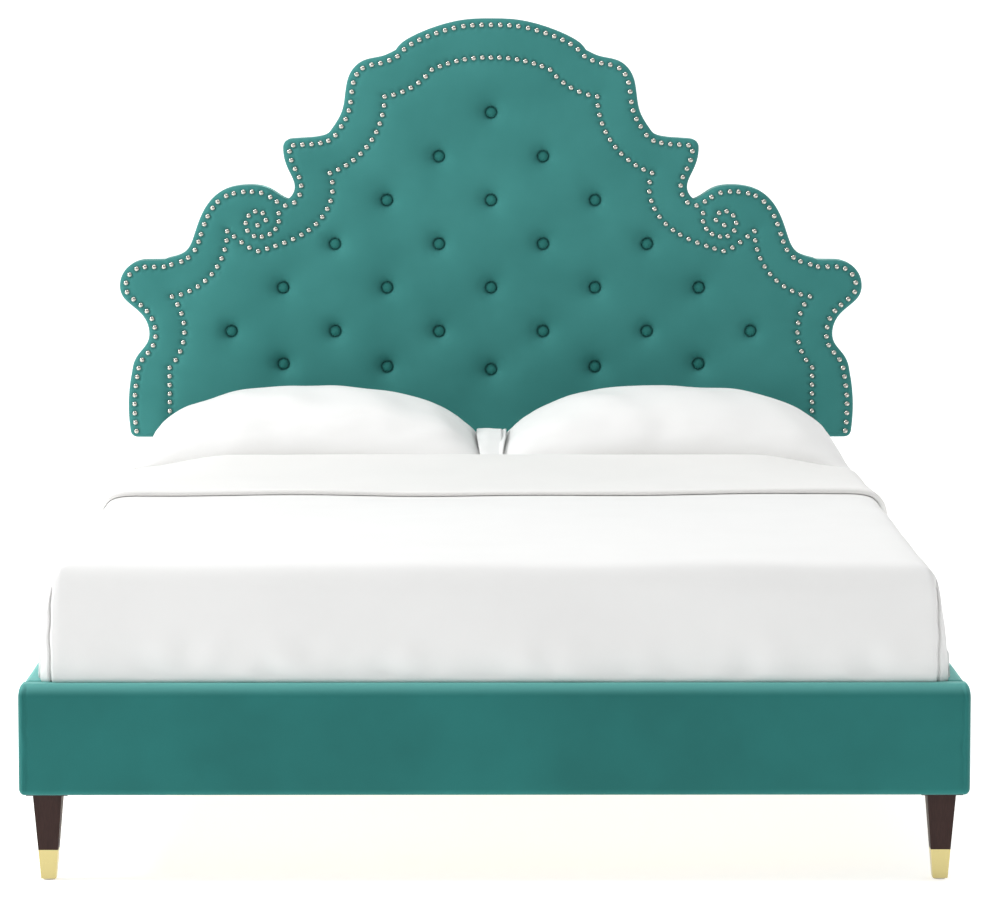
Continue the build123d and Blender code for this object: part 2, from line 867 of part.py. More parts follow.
def make_tape(side):
    """Webbing tape stapled under the slats to keep their spacing."""
    slats = slat_positions()
    with BuildPart() as tape:
        span((side * tape_offset - tape_width / 2, slats[0] - slat_width / 2,
              slat_bottom - tape_thickness),
             (side * tape_offset + tape_width / 2, slats[-1] + slat_width / 2, slat_bottom))
    return tape


def make_beam():
    """Centre beam under the slats."""
    gap = hanger_plate
    with BuildPart() as beam:
        span((-beam_width / 2, foot_inner_y + gap, beam_bottom),
             (beam_width / 2, head_inner_y - gap, slat_bottom))
        add(slat_screw_group.part, mode=Mode.SUBTRACT)
    return beam


def make_beam_hanger(end, inward):
    """Steel hanger that carries one end of the centre beam."""
    inner_y = end + inward * rail_thickness
    low_y, high_y = sorted((inner_y, inner_y + inward * hanger_length))
    half = beam_width / 2
    with BuildPart() as hanger:
        span((-half - hanger_plate, low_y, beam_bottom - hanger_plate),
             (half + hanger_plate, high_y, slat_bottom - 2 * tape_thickness))
        beam_y = sorted((inner_y + inward * hanger_plate, inner_y + inward * hanger_length))
        with Locations((0, (beam_y[0] + beam_y[1]) / 2, (beam_bottom + slat_bottom) / 2)):
            Box(beam_width, beam_y[1] - beam_y[0], beam_height, mode=Mode.SUBTRACT)
    return hanger


# ---- support leg with a levelling foot

def support_positions():
    """Middle of each support leg along the bed."""
    step = mattress_length / (support_legs + 1)
    return [mattress_foot_y + step * (i + 1) for i in range(support_legs)]


def make_support_leg(y):
    """Square steel tube with a plate welded on top."""
    top = beam_bottom
    with BuildPart() as leg:
        with BuildSketch(Plane((0, y, pad_height + insert_flange))):
            RectangleRounded(tube_width, tube_width, tube_corner)
            RectangleRounded(tube_width - 2 * tube_wall, tube_width - 2 * tube_wall,
                             tube_corner - tube_wall,
                             mode=Mode.SUBTRACT)
        extrude(amount=top - hanger_plate - pad_height - insert_flange)
        with BuildSketch(Plane((0, y, top - hanger_plate))):
            RectangleRounded(tube_plate_width, tube_plate_length, tube_plate_corner)
        extrude(amount=hanger_plate)
    return leg


def make_inserts():
    """Plastic inserts in the tubes' ends, bored for the levelling feet's studs."""
    inside = tube_width - 2 * tube_wall
    middles = [(0, y) for y in support_positions()]
    with BuildPart() as inserts:
        with BuildSketch(flat_at(pad_height)):
            with Locations(*middles):
                RectangleRounded(tube_width, tube_width, tube_corner)
        extrude(amount=insert_flange)
        with BuildSketch(flat_at(pad_height + insert_flange)):
            with Locations(*middles):
                RectangleRounded(inside, inside, tube_corner - tube_wall)
        extrude(amount=insert_depth)
        with BuildSketch(flat_at(pad_height)):
            with Locations(*middles):
                Circle(stud_diameter / 2 + stud_clearance)
        extrude(amount=insert_depth + insert_flange, mode=Mode.SUBTRACT)
    return inserts


def make_leveller(y):
    """Levelling foot: a round pad on a stud."""
    with BuildPart() as foot:
        with BuildSketch(Plane((0, y, 0))):
            Circle(pad_diameter / 2)
        extrude(amount=pad_height)
        fillet(foot.edges().filter_by(GeomType.CIRCLE).sort_by(Axis.Z)[:1], pad_edge)
        with BuildSketch(Plane((0, y, pad_height))):
            Circle(stud_diameter / 2)
        extrude(amount=stud_length)
    return foot


# ---- mattress and bedding

def soft_block(half_width, low_y, high_y, bottom, top, corner, crown):
    """Block with rounded upright corners and a rounded top edge."""
    with BuildPart() as block:
        span((-half_width, low_y, bottom), (half_width, high_y, top))
        fillet(block.edges().filter_by(Axis.Z), corner)
        fillet(block.faces().sort_by(Axis.Z)[-1].edges(), crown)
    return block.part


def mattress_block(grow):
    """Mattress envelope made larger all round by grow."""
    half = mattress_width / 2 + grow
    return soft_block(half, mattress_foot_y - grow, mattress_head_y + grow, deck_height,
                      mattress_top + grow, mattress_corner + grow, mattress_edge + grow)


def make_ticking():
    """Quilted mattress shell, hollow for its spring unit."""
    with BuildPart() as ticking:
        add(mattress_block(0.0))
        half = mattress_width / 2 - ticking_thickness
        span_low = (-half, mattress_foot_y + ticking_thickness, deck_height + ticking_thickness)
        span_high = (half, mattress_head_y - ticking_thickness, mattress_top - ticking_thickness)
        with Locations(tuple((span_low[i] + span_high[i]) / 2 for i in range(3))):
            Box(*[span_high[i] - span_low[i] for i in range(3)], mode=Mode.SUBTRACT)
    return ticking


def make_springs():
    """Pocketed springs that fill the mattress, each as its fabric pocket."""
    taken = 2 * (ticking_thickness + spring_margin) + spring_diameter
    pitch_x = (mattress_width - taken) / (spring_columns - 1)
    pitch_y = (mattress_length - taken) / (spring_rows - 1)
    middle = (mattress_foot_y + mattress_head_y) / 2
    with BuildPart() as springs:
        with BuildSketch(Plane((0, middle, deck_height + ticking_thickness))):
            with GridLocations(pitch_x, pitch_y, spring_columns, spring_rows):
                Circle(spring_diameter / 2)
                Circle(spring_diameter / 2 - spring_wall, mode=Mode.SUBTRACT)
        extrude(amount=mattress_height - 2 * ticking_thickness)
    return springs


def make_fitted_sheet():
    """Fitted sheet over the mattress's top and sides."""
    with BuildPart() as sheet:
        add(mattress_block(sheet_thickness))
        add(mattress_block(0.0), mode=Mode.SUBTRACT)
    return sheet


def cover_half_width():
    """Half the bed cover's width above the rails."""
    return mattress_width / 2 + cover_side_bulge


def make_bed_cover():
    """Bed cover that hangs past the mattress above the rails and is tucked in inside them."""
    ledge = rail_top + cover_rail_gap
    top = mattress_top + sheet_thickness + cover_top
    foot = mattress_foot_y - cover_side_bulge
    end = foot + cover_length
    half = cover_half_width()
    tuck_half = mattress_width / 2 + sheet_thickness + cover_tuck_wall
    tuck_foot = mattress_foot_y - sheet_thickness - cover_tuck_wall
    inner_top = top - cover_top + rest_gap
    with BuildPart() as hollow:
        add(soft_block(half - cover_wall, foot + cover_wall, end + 2 * cut_allowance,
                       ledge + cover_wall, inner_top, cover_corner - cover_wall,
                       cover_edge - cover_wall))
        span((-mattress_width / 2 - sheet_thickness - rest_gap,
              mattress_foot_y - sheet_thickness - rest_gap, ledge - 2 * cover_tuck),
             (mattress_width / 2 + sheet_thickness + rest_gap, end + 2 * cut_allowance,
              ledge + 2 * cover_wall))
    with BuildPart() as cover:
        add(soft_block(half, foot, end + cut_allowance, ledge, top, cover_corner, cover_edge))
        span((-tuck_half, tuck_foot, ledge - cover_tuck),
             (tuck_half, end + cut_allowance, ledge + cover_wall / 2))
        add(hollow.part, mode=Mode.SUBTRACT)
        split(bisect_by=Plane((0, end, 0), z_dir=(0, 1, 0)), keep=Keep.BOTTOM)
    return cover


def make_sheet_band():
    """Top sheet turned down over the bed cover's head end."""
    top = mattress_top + sheet_thickness + cover_top + rest_gap + band_wall
    foot = mattress_foot_y - cover_side_bulge
    end = foot + cover_length
    half = cover_half_width() + rest_gap + band_wall
    with BuildPart() as hollow:
        add(soft_block(half - band_wall, foot - cut_allowance, end + 2 * cut_allowance, rail_top,
                       top - band_wall, band_corner - band_wall, band_edge - band_wall))
    with BuildPart() as band:
        add(soft_block(half, foot - 2 * cut_allowance, end + cut_allowance, top - band_drop, top,
                       band_corner, band_edge))
        add(hollow.part, mode=Mode.SUBTRACT)
        split(bisect_by=Plane((0, end, 0), z_dir=(0, 1, 0)), keep=Keep.BOTTOM)
        split(bisect_by=Plane((0, end - band_length, 0), z_dir=(0, 1, 0)), keep=Keep.TOP)
    return band


def pillow_block(side, shrink):
    """Pillow's outer shape, made smaller all round by shrink."""
    x = side * (pillow_gap / 2 + pillow_width / 2)
    y = board_face_y - pillow_board_gap - pillow_depth / 2
    z = mattress_top + sheet_thickness + rest_gap + pillow_height / 2
    with BuildPart() as block:
        with Locations((x, y, z)):
            Box(pillow_width - 2 * shrink, pillow_depth - 2 * shrink, pillow_height - 2 * shrink)
        fillet(block.edges().filter_by(Axis.Z), pillow_corner - shrink)
        fillet(block.faces().sort_by(Axis.Z)[-1].edges(), pillow_crown - shrink)
        fillet(block.faces().sort_by(Axis.Z)[0].edges(), pillow_crown - shrink)
    return block.part


def make_pillow(side):
    """Pillow in its case, hollow because its filling weighs so little."""
    with BuildPart() as pillow:
        add(pillow_block(side, 0.0))
        add(pillow_block(side, pillow_wall), mode=Mode.SUBTRACT)
    return pillow


# ---- build every piece

os.makedirs("parts", exist_ok=True)

strut_screw_group = make_strut_screws()
clamp_bolts = make_clamp_bolts()
clamp_nuts = make_clamp_nuts()
frame_bolts = make_frame_bolts()
hanger_bolts = make_hanger_bolts()
hanger_rooms = make_hanger_rooms()
plate_rooms = make_plate_rooms()
ledge_screw_group = make_ledge_screws()
slat_screw_group = make_slat_screws()

save(make_board(), "headboard_board")
save(make_backing(), "headboard_dust_cloth")
save(make_foam(), "headboard_foam")
save(make_headboard_cover(), "headboard_cover")
save(make_buttons(), "tuft_buttons")
save(make_twines(), "button_twines")
save(make_nails(outer_nail_points()), "outline_nails")
save(make_nails(inner_nail_points()), "field_nails")
save(make_nails(scroll_nail_points()), "scroll_nails")
save(strut_screw_group, "strut_screws")

save(clamp_bolts, "clamp_bolts")
save(make_clamp_washers(), "clamp_washers")
save(clamp_nuts, "clamp_nuts")
save(frame_bolts, "frame_bolts")
save(hanger_bolts, "leg_hanger_bolts")
save(ledge_screw_group, "ledge_screws")
save(slat_screw_group, "slat_screws")
save(make_slats(), "slats")
save(make_beam(), "centre_beam")
save(make_ferrules(), "leg_ferrules")
save(make_glides(), "leg_glides")
save(make_inserts(), "support_leg_inserts")

for side, hand in zip(SIDES, ("left", "right")):
    save(make_strut(side), f"strut_{hand}")
    save(make_side_core(side), f"side_rail_core_{hand}")
    save(make_side_rail_cover(side), f"side_rail_cover_{hand}")
    save(make_ledge(side), f"slat_ledge_{hand}")
    save(make_tape(side), f"slat_tape_{hand}")
    save(make_pillow(side), f"pillow_{hand}")

for (end, inward), place in zip(ENDS, ("foot", "head")):
    save(make_end_core(end, inward), f"{place}_rail_core")
    save(make_end_rail_cover(end, inward), f"{place}_rail_cover")
    save(make_beam_hanger(end, inward), f"beam_hanger_{place}")
    for side, hand in zip(SIDES, ("left", "right")):
        save(make_corner_bracket(side, end, inward), f"corner_bracket_{place}_{hand}")
        save(make_leg(side, end, inward), f"leg_{place}_{hand}")

for number, y in enumerate(support_positions(), start=1):
    save(make_support_leg(y), f"support_leg_{number}")
    save(make_leveller(y), f"levelling_foot_{number}")

save(make_ticking(), "mattress_ticking")
save(make_springs(), "mattress_springs")
save(make_fitted_sheet(), "fitted_sheet")
save(make_bed_cover(), "bed_cover")
save(make_sheet_band(), "turned_sheet")
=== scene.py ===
"""Upholstered bed: tufted velvet headboard with nailhead trim, padded rails, brass-tipped legs and bedding.

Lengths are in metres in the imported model's frame: +Z up, the foot end faces -Y, and the head end is +Y.
"""
import logging
import math
from collections import defaultdict
from collections.abc import Callable, Iterable
from dataclasses import dataclass, field
from enum import Enum

import bmesh
import bpy
import numpy as np
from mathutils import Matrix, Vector
from mathutils.geometry import delaunay_2d_cdt


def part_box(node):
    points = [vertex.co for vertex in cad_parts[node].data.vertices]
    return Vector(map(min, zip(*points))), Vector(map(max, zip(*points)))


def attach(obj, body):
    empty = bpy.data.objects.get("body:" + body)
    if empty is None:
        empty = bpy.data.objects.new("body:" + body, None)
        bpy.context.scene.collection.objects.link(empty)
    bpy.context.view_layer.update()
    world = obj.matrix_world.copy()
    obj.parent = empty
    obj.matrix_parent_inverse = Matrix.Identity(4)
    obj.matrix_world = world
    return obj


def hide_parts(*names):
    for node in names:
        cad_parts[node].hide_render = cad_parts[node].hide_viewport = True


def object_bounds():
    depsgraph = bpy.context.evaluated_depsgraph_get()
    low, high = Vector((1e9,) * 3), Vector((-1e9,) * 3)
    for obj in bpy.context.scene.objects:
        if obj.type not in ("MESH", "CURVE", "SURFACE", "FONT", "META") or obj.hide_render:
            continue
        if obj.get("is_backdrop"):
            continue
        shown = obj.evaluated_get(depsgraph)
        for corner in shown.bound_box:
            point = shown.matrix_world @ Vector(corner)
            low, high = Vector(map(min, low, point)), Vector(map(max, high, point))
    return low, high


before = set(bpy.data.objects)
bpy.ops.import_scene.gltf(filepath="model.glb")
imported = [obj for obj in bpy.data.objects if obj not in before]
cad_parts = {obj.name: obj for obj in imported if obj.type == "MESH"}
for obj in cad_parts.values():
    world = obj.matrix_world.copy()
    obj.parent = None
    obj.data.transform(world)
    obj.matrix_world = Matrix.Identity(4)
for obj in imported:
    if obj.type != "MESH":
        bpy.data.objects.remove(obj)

MM = 0.001
FRONT = -1.0            # the way the headboard and the foot rail face, along Y
log = logging.getLogger("bed")


# ---------------------------------------------------------------- small tools

def linear(code: str) -> tuple[float, float, float, float]:
    """Turn an sRGB hex colour into linear values.

    Args:
        code: Six hex digits.

    Returns:
        Red, green, blue and alpha.
    """
    parts = [int(code[i:i + 2], 16) / 255 for i in (0, 2, 4)]
    return tuple(p / 12.92 if p <= 0.04045 else ((p + 0.055) / 1.055) ** 2.4 for p in parts) + (1.0,)


def add_node(tree: bpy.types.NodeTree, kind: str, inputs: dict | None = None, **settings) -> bpy.types.Node:
    """Add one node with its settings, values and links.

    Args:
        tree: Node tree that gets the node.
        kind: Blender's type name for the node.
        inputs: Input name or index, and the value or the output socket that feeds it.
        settings: Fields of the node.

    Returns:
        The new node.
    """
    made = tree.nodes.new(kind)
    for name, value in settings.items():
        setattr(made, name, value)
    for key, value in (inputs or {}).items():
        if isinstance(value, bpy.types.NodeSocket):
            tree.links.new(value, made.inputs[key])
        else:
            made.inputs[key].default_value = value
    return made


def lattice_noise(points: np.ndarray, wavelength: float, seed: int, waves: int = 14,
                  stretch: tuple[float, float, float] = (1.0, 1.0, 1.0)) -> np.ndarray:
    """Smooth noise of about -1 to 1, as a sum of plane waves with seeded directions.

    Args:
        points: Places, one row each.
        wavelength: Length of one swell.
        seed: Seed of the directions and phases.
        waves: Number of waves in the sum.
        stretch: How much longer the swells are along each axis.

    Returns:
        One value for each place.
    """
    rng = np.random.default_rng(seed)
    ways = rng.normal(size=(waves, 3))
    ways /= np.linalg.norm(ways, axis=1, keepdims=True)
    ways *= (2 * math.pi / wavelength) * rng.uniform(0.6, 1.5, (waves, 1))
    ways /= np.array(stretch)
    phase = rng.uniform(0, 2 * math.pi, waves)
    return np.cos(points @ ways.T + phase).sum(axis=1) / math.sqrt(waves)


def smooth_step(value: np.ndarray, low: float, high: float) -> np.ndarray:
    """Ease from 0 to 1 between two limits.

    Args:
        value: Values to ease.
        low: Where it starts to rise.
        high: Where it is 1.

    Returns:
        Eased values.
    """
    t = np.clip((value - low) / (high - low), 0.0, 1.0)
    return t * t * (3 - 2 * t)


def to_object(name: str, points: np.ndarray, faces: list, finish: bpy.types.Material) -> bpy.types.Object:
    """Make a smooth-shaded mesh object at the origin.

    Args:
        name: The piece's name.
        points: Vertices, one row each.
        faces: Vertex indices of each face.
        finish: Its material.

    Returns:
        The new object.
    """
    mesh = bpy.data.meshes.new(name)
    mesh.from_pydata([tuple(map(float, p)) for p in points], [], [tuple(map(int, f)) for f in faces])
    mesh.validate()
    mesh.shade_smooth()
    mesh.materials.append(finish)
    piece = bpy.data.objects.new(name, mesh)
    bpy.context.scene.collection.objects.link(piece)
    return piece


def out_facing(piece: bpy.types.Object, weld: float = 0.0) -> bpy.types.Object:
    """Weld doubled vertices and turn every face of a closed piece outwards.

    Args:
        piece: The mesh object.
        weld: Distance under which vertices are one.

    Returns:
        The same object.
    """
    shape = bmesh.new()
    shape.from_mesh(piece.data)
    if weld:
        bmesh.ops.remove_doubles(shape, verts=shape.verts, dist=weld)
    bmesh.ops.recalc_face_normals(shape, faces=shape.faces)
    shape.to_mesh(piece.data)
    shape.free()
    return piece


def node_points(node: str) -> tuple[np.ndarray, np.ndarray]:
    """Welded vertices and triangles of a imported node.

    Args:
        node: The node's name.

    Returns:
        Vertices, one row each, and triangles as rows of vertex indices.
    """
    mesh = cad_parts[node].data
    raw = np.empty(len(mesh.vertices) * 3)
    mesh.vertices.foreach_get("co", raw)
    raw = raw.reshape(-1, 3)
    mesh.calc_loop_triangles()
    tris = np.empty(len(mesh.loop_triangles) * 3, dtype=int)
    mesh.loop_triangles.foreach_get("vertices", tris)
    _, first, inverse = np.unique(np.round(raw / (0.02 * MM)).astype(int), axis=0,
                                  return_index=True, return_inverse=True)
    return raw[first], inverse.ravel()[tris].reshape(-1, 3)


def island_middles(node: str) -> np.ndarray:
    """Middle of the box of each separate solid in a node.

    Args:
        node: The node's name.

    Returns:
        One row of lowest and highest corner for each solid, as an array of shape (n, 2, 3).
    """
    points, tris = node_points(node)
    parent = np.arange(len(points))
    edges = np.vstack([tris[:, :2], tris[:, 1:], tris[:, [0, 2]]])
    while True:
        low = np.minimum(parent[edges[:, 0]], parent[edges[:, 1]])
        before = parent.copy()
        np.minimum.at(parent, edges[:, 0], low)
        np.minimum.at(parent, edges[:, 1], low)
        parent = parent[parent]
        if np.array_equal(before, parent):
            break
    boxes = []
    for label in np.unique(parent[np.unique(tris)]):
        own = points[parent == label]
        boxes.append((own.min(axis=0), own.max(axis=0)))
    return np.array(boxes)


def ring_faces(first: Iterable[int], second: Iterable[int]) -> list:
    """Quads between two closed rings of equal length.

    Args:
        first: Vertex indices of one ring.
        second: Vertex indices of the other.

    Returns:
        The quads.
    """
    a, b = list(first), list(second)
    count = len(a)
    return [(a[i], a[(i + 1) % count], b[(i + 1) % count], b[i]) for i in range(count)]


def set_object(piece: bpy.types.Object, body: str, nodes: Iterable[str] = ()) -> bpy.types.Object:
    """Hang a piece on its body and say which nodes it stands for.

    Args:
        piece: The finished piece.
        body: Body it moves with.
        nodes: CAD nodes that it replaces.

    Returns:
        The same piece.
    """
    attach(piece, body)
    if nodes:
        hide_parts(*nodes)
    log.info("%s: %d faces on %s", piece.name, len(piece.data.polygons), body)
    return piece


# ---------------------------------------------------------------- finishes

class Grain(Enum):
    """Long direction of a wooden piece's grain."""
    ALONG_X = (0.05, 1.0, 1.0)
    ALONG_Y = (1.0, 0.05, 1.0)
    ALONG_Z = (1.0, 1.0, 0.05)


def shader(name: str, **values) -> tuple[bpy.types.Material, bpy.types.NodeTree, bpy.types.Node]:
    """Start a material with one Principled shader.

    Args:
        name: Name of the material.
        values: Shader inputs, with an underscore for each space in a name.

    Returns:
        The material, its node tree and its shader.
    """
    material = bpy.data.materials.new(name)
    material.use_nodes = True
    tree = material.node_tree
    tree.nodes.clear()
    principled = add_node(tree, "ShaderNodeBsdfPrincipled")
    add_node(tree, "ShaderNodeOutputMaterial", {"Surface": principled.outputs[0]})
    for key, value in values.items():
        principled.inputs[key.replace("_", " ")].default_value = value
    return material, tree, principled


def object_place(tree: bpy.types.NodeTree, scale: tuple[float, float, float]) -> bpy.types.NodeSocket:
    """Object coordinates stretched by a scale.

    Args:
        tree: Node tree that gets the nodes.
        scale: Scale along each axis.

    Returns:
        The scaled vector.
    """
    place = add_node(tree, "ShaderNodeTexCoord")
    return add_node(tree, "ShaderNodeMapping", {"Vector": place.outputs["Object"], "Scale": scale}).outputs[0]


@dataclass(frozen=True)
class Velvet:
    """Cut-pile polyester velvet. The pile is brushed unevenly, so its tone drifts in soft clouds, and it
    lights up where it is seen edge on."""
    name: str
    base: str
    brushed: str
    rim: str
    sheen: float = 0.55
    painted_highlight: str = ""                  # painted highlight: lighter colour of the pile along a band of heights, in place of light on a top edge
    painted_highlight_band: tuple[float, float] = (0.0, 0.0)

    def build(self) -> bpy.types.Material:
        """Build the material."""
        material, tree, shade = shader(self.name, Roughness=0.78, Sheen_Weight=self.sheen,
                                       Sheen_Roughness=0.3, Sheen_Tint=linear(self.rim))
        shade.inputs["Specular IOR Level"].default_value = 0.22
        place = object_place(tree, (1.0, 1.0, 1.0))
        clouds = add_node(tree, "ShaderNodeTexNoise", {"Vector": place, "Scale": 5.0, "Detail": 3.0,
                                                       "Roughness": 0.55})
        tone = add_node(tree, "ShaderNodeMapRange", {"Value": clouds.outputs[0], "From Min": 0.34,
                                                     "From Max": 0.68})
        pile = add_node(tree, "ShaderNodeTexNoise", {"Vector": place, "Scale": 900.0, "Detail": 2.0})
        colour = add_node(tree, "ShaderNodeMix", {0: tone.outputs[0], 6: linear(self.base),
                                                  7: linear(self.brushed)}, data_type="RGBA")
        # painted highlight: the colour eases to the lighter tone up through the band of Object Z, standing in for light
        # falling on the top edge
        if self.painted_highlight:
            low, high = self.painted_highlight_band
            level = add_node(tree, "ShaderNodeSeparateXYZ", {0: place})
            highlight_share = add_node(tree, "ShaderNodeMapRange", {"Value": level.outputs[2], "From Min": low,
                                                         "From Max": high}, interpolation_type="SMOOTHSTEP")
            colour = add_node(tree, "ShaderNodeMix", {0: highlight_share.outputs[0], 6: colour.outputs[2],
                                                      7: linear(self.painted_highlight)}, data_type="RGBA")
        speck = add_node(tree, "ShaderNodeMapRange", {"Value": pile.outputs[0], "To Min": 0.93, "To Max": 1.07})
        mottled = add_node(tree, "ShaderNodeVectorMath", {0: colour.outputs[2], 1: speck.outputs[0]},
                           operation="MULTIPLY")
        tree.links.new(mottled.outputs[0], shade.inputs["Base Color"])
        # the pile itself is 1 to 2 mm tall; its tufts are drawn about 1 mm wide so that they show
        bump = add_node(tree, "ShaderNodeBump", {"Height": pile.outputs[0], "Strength": 0.22,
                                                 "Distance": 0.6 * MM})
        tree.links.new(bump.outputs[0], shade.inputs["Normal"])
        return material


@dataclass(frozen=True)
class WovenCotton:
    """Plain-woven cotton percale. Two crossed sets of threads give it a fine even tooth, drawn at 1.6 mm
    so that it shows, and its white is very slightly warm."""
    name: str
    base: str
    thread: float = 1.6
    strength: float = 0.12

    def build(self) -> bpy.types.Material:
        """Build the material."""
        material, tree, shade = shader(self.name, Roughness=0.82, Sheen_Weight=0.18, Sheen_Roughness=0.5)
        shade.inputs["Specular IOR Level"].default_value = 0.25
        turns = 1.0 / (self.thread * MM)
        place = object_place(tree, (turns, turns, turns))
        warp = add_node(tree, "ShaderNodeTexWave", {"Vector": place, "Scale": 1.0, "Distortion": 0.6},
                        bands_direction="X")
        weft = add_node(tree, "ShaderNodeTexWave", {"Vector": place, "Scale": 1.0, "Distortion": 0.6},
                        bands_direction="DIAGONAL")
        weave = add_node(tree, "ShaderNodeMath", {0: warp.outputs[1], 1: weft.outputs[1]}, operation="MULTIPLY")
        bump = add_node(tree, "ShaderNodeBump", {"Height": weave.outputs[0], "Strength": self.strength,
                                                 "Distance": 0.2 * MM})
        tree.links.new(bump.outputs[0], shade.inputs["Normal"])
        soft = add_node(tree, "ShaderNodeTexNoise", {"Vector": object_place(tree, (1, 1, 1)), "Scale": 9.0,
                                                     "Detail": 2.0})
        bright, dim = linear(self.base), tuple(c * 0.965 for c in linear(self.base)[:3]) + (1.0,)
        colour = add_node(tree, "ShaderNodeMix", {0: soft.outputs[0], 6: bright, 7: dim}, data_type="RGBA")
        tree.links.new(colour.outputs[2], shade.inputs["Base Color"])
        return material


@dataclass(frozen=True)
class Timber:
    """Sawn and sanded wood. Growth rings are stretched along the board, with finer dark pores in them."""
    name: str
    early: str
    late: str
    grain: Grain
    roughness: float = 0.5
    coat: float = 0.0
    ring: float = 9.0

    def build(self) -> bpy.types.Material:
        """Build the material."""
        material, tree, shade = shader(self.name, Coat_Weight=self.coat, Coat_Roughness=0.25)
        shade.inputs["Specular IOR Level"].default_value = 0.25
        turns = 1.0 / (self.ring * MM)
        place = object_place(tree, tuple(turns * part for part in self.grain.value))
        bend = add_node(tree, "ShaderNodeTexNoise", {"Vector": place, "Scale": 0.35, "Detail": 4.0,
                                                     "Distortion": 0.8})
        rings = add_node(tree, "ShaderNodeMath", {0: bend.outputs[0], 1: 9.0}, operation="MULTIPLY")
        wave = add_node(tree, "ShaderNodeMath", {0: rings.outputs[0]}, operation="SINE")
        lift = add_node(tree, "ShaderNodeMapRange", {"Value": wave.outputs[0], "From Min": -1.0})
        pores = add_node(tree, "ShaderNodeTexNoise", {"Vector": place, "Scale": 7.0, "Detail": 3.0})
        dots = add_node(tree, "ShaderNodeMapRange", {"Value": pores.outputs[0], "From Min": 0.36,
                                                     "From Max": 0.6, "To Min": 0.78})
        colour = add_node(tree, "ShaderNodeMix", {0: lift.outputs[0], 6: linear(self.early),
                                                  7: linear(self.late)}, data_type="RGBA")
        dark = add_node(tree, "ShaderNodeVectorMath", {0: colour.outputs[2], 1: dots.outputs[0]},
                        operation="MULTIPLY")
        tree.links.new(dark.outputs[0], shade.inputs["Base Color"])
        gloss = add_node(tree, "ShaderNodeMapRange", {"Value": pores.outputs[0], "To Min": self.roughness + 0.1,
                                                      "To Max": self.roughness - 0.1})
        tree.links.new(gloss.outputs[0], shade.inputs["Roughness"])
        bump = add_node(tree, "ShaderNodeBump", {"Height": pores.outputs[0], "Strength": 0.12,
                                                 "Distance": 0.3 * MM})
        tree.links.new(bump.outputs[0], shade.inputs["Normal"])
        return material


@dataclass(frozen=True)
class Metal:
    """Metal with fine handling marks: brushed or tumbled scratches that only change its gloss."""
    name: str
    base: str
    roughness: float
    metallic: float = 1.0
    marks: tuple[float, float, float] = (260.0, 260.0, 30.0)

    def build(self) -> bpy.types.Material:
        """Build the material."""
        material, tree, shade = shader(self.name, Base_Color=linear(self.base), Metallic=self.metallic)
        place = object_place(tree, self.marks)
        lines = add_node(tree, "ShaderNodeTexNoise", {"Vector": place, "Scale": 4.0, "Detail": 3.0})
        gloss = add_node(tree, "ShaderNodeMapRange", {"Value": lines.outputs[0],
                                                      "To Min": self.roughness * 0.75,
                                                      "To Max": self.roughness * 1.3})
        tree.links.new(gloss.outputs[0], shade.inputs["Roughness"])
        bump = add_node(tree, "ShaderNodeBump", {"Height": lines.outputs[0], "Strength": 0.05,
                                                 "Distance": 0.05 * MM})
        tree.links.new(bump.outputs[0], shade.inputs["Normal"])
        return material


@dataclass(frozen=True)
class Matter:
    """Plain moulded, foamed or bonded stuff, with a soft speckle and a fine rough surface."""
    name: str
    base: str
    roughness: float = 0.6
    speckle: float = 60.0
    depth: float = 0.25

    def build(self) -> bpy.types.Material:
        """Build the material."""
        material, tree, shade = shader(self.name, Roughness=self.roughness)
        place = object_place(tree, (1.0, 1.0, 1.0))
        cells = add_node(tree, "ShaderNodeTexNoise", {"Vector": place, "Scale": self.speckle * 10, "Detail": 2.0})
        bright = linear(self.base)
        dim = tuple(c * 0.82 for c in bright[:3]) + (1.0,)
        colour = add_node(tree, "ShaderNodeMix", {0: cells.outputs[0], 6: bright, 7: dim}, data_type="RGBA")
        tree.links.new(colour.outputs[2], shade.inputs["Base Color"])
        bump = add_node(tree, "ShaderNodeBump", {"Height": cells.outputs[0], "Strength": self.depth,
                                                 "Distance": 0.4 * MM})
        tree.links.new(bump.outputs[0], shade.inputs["Normal"])
        return material


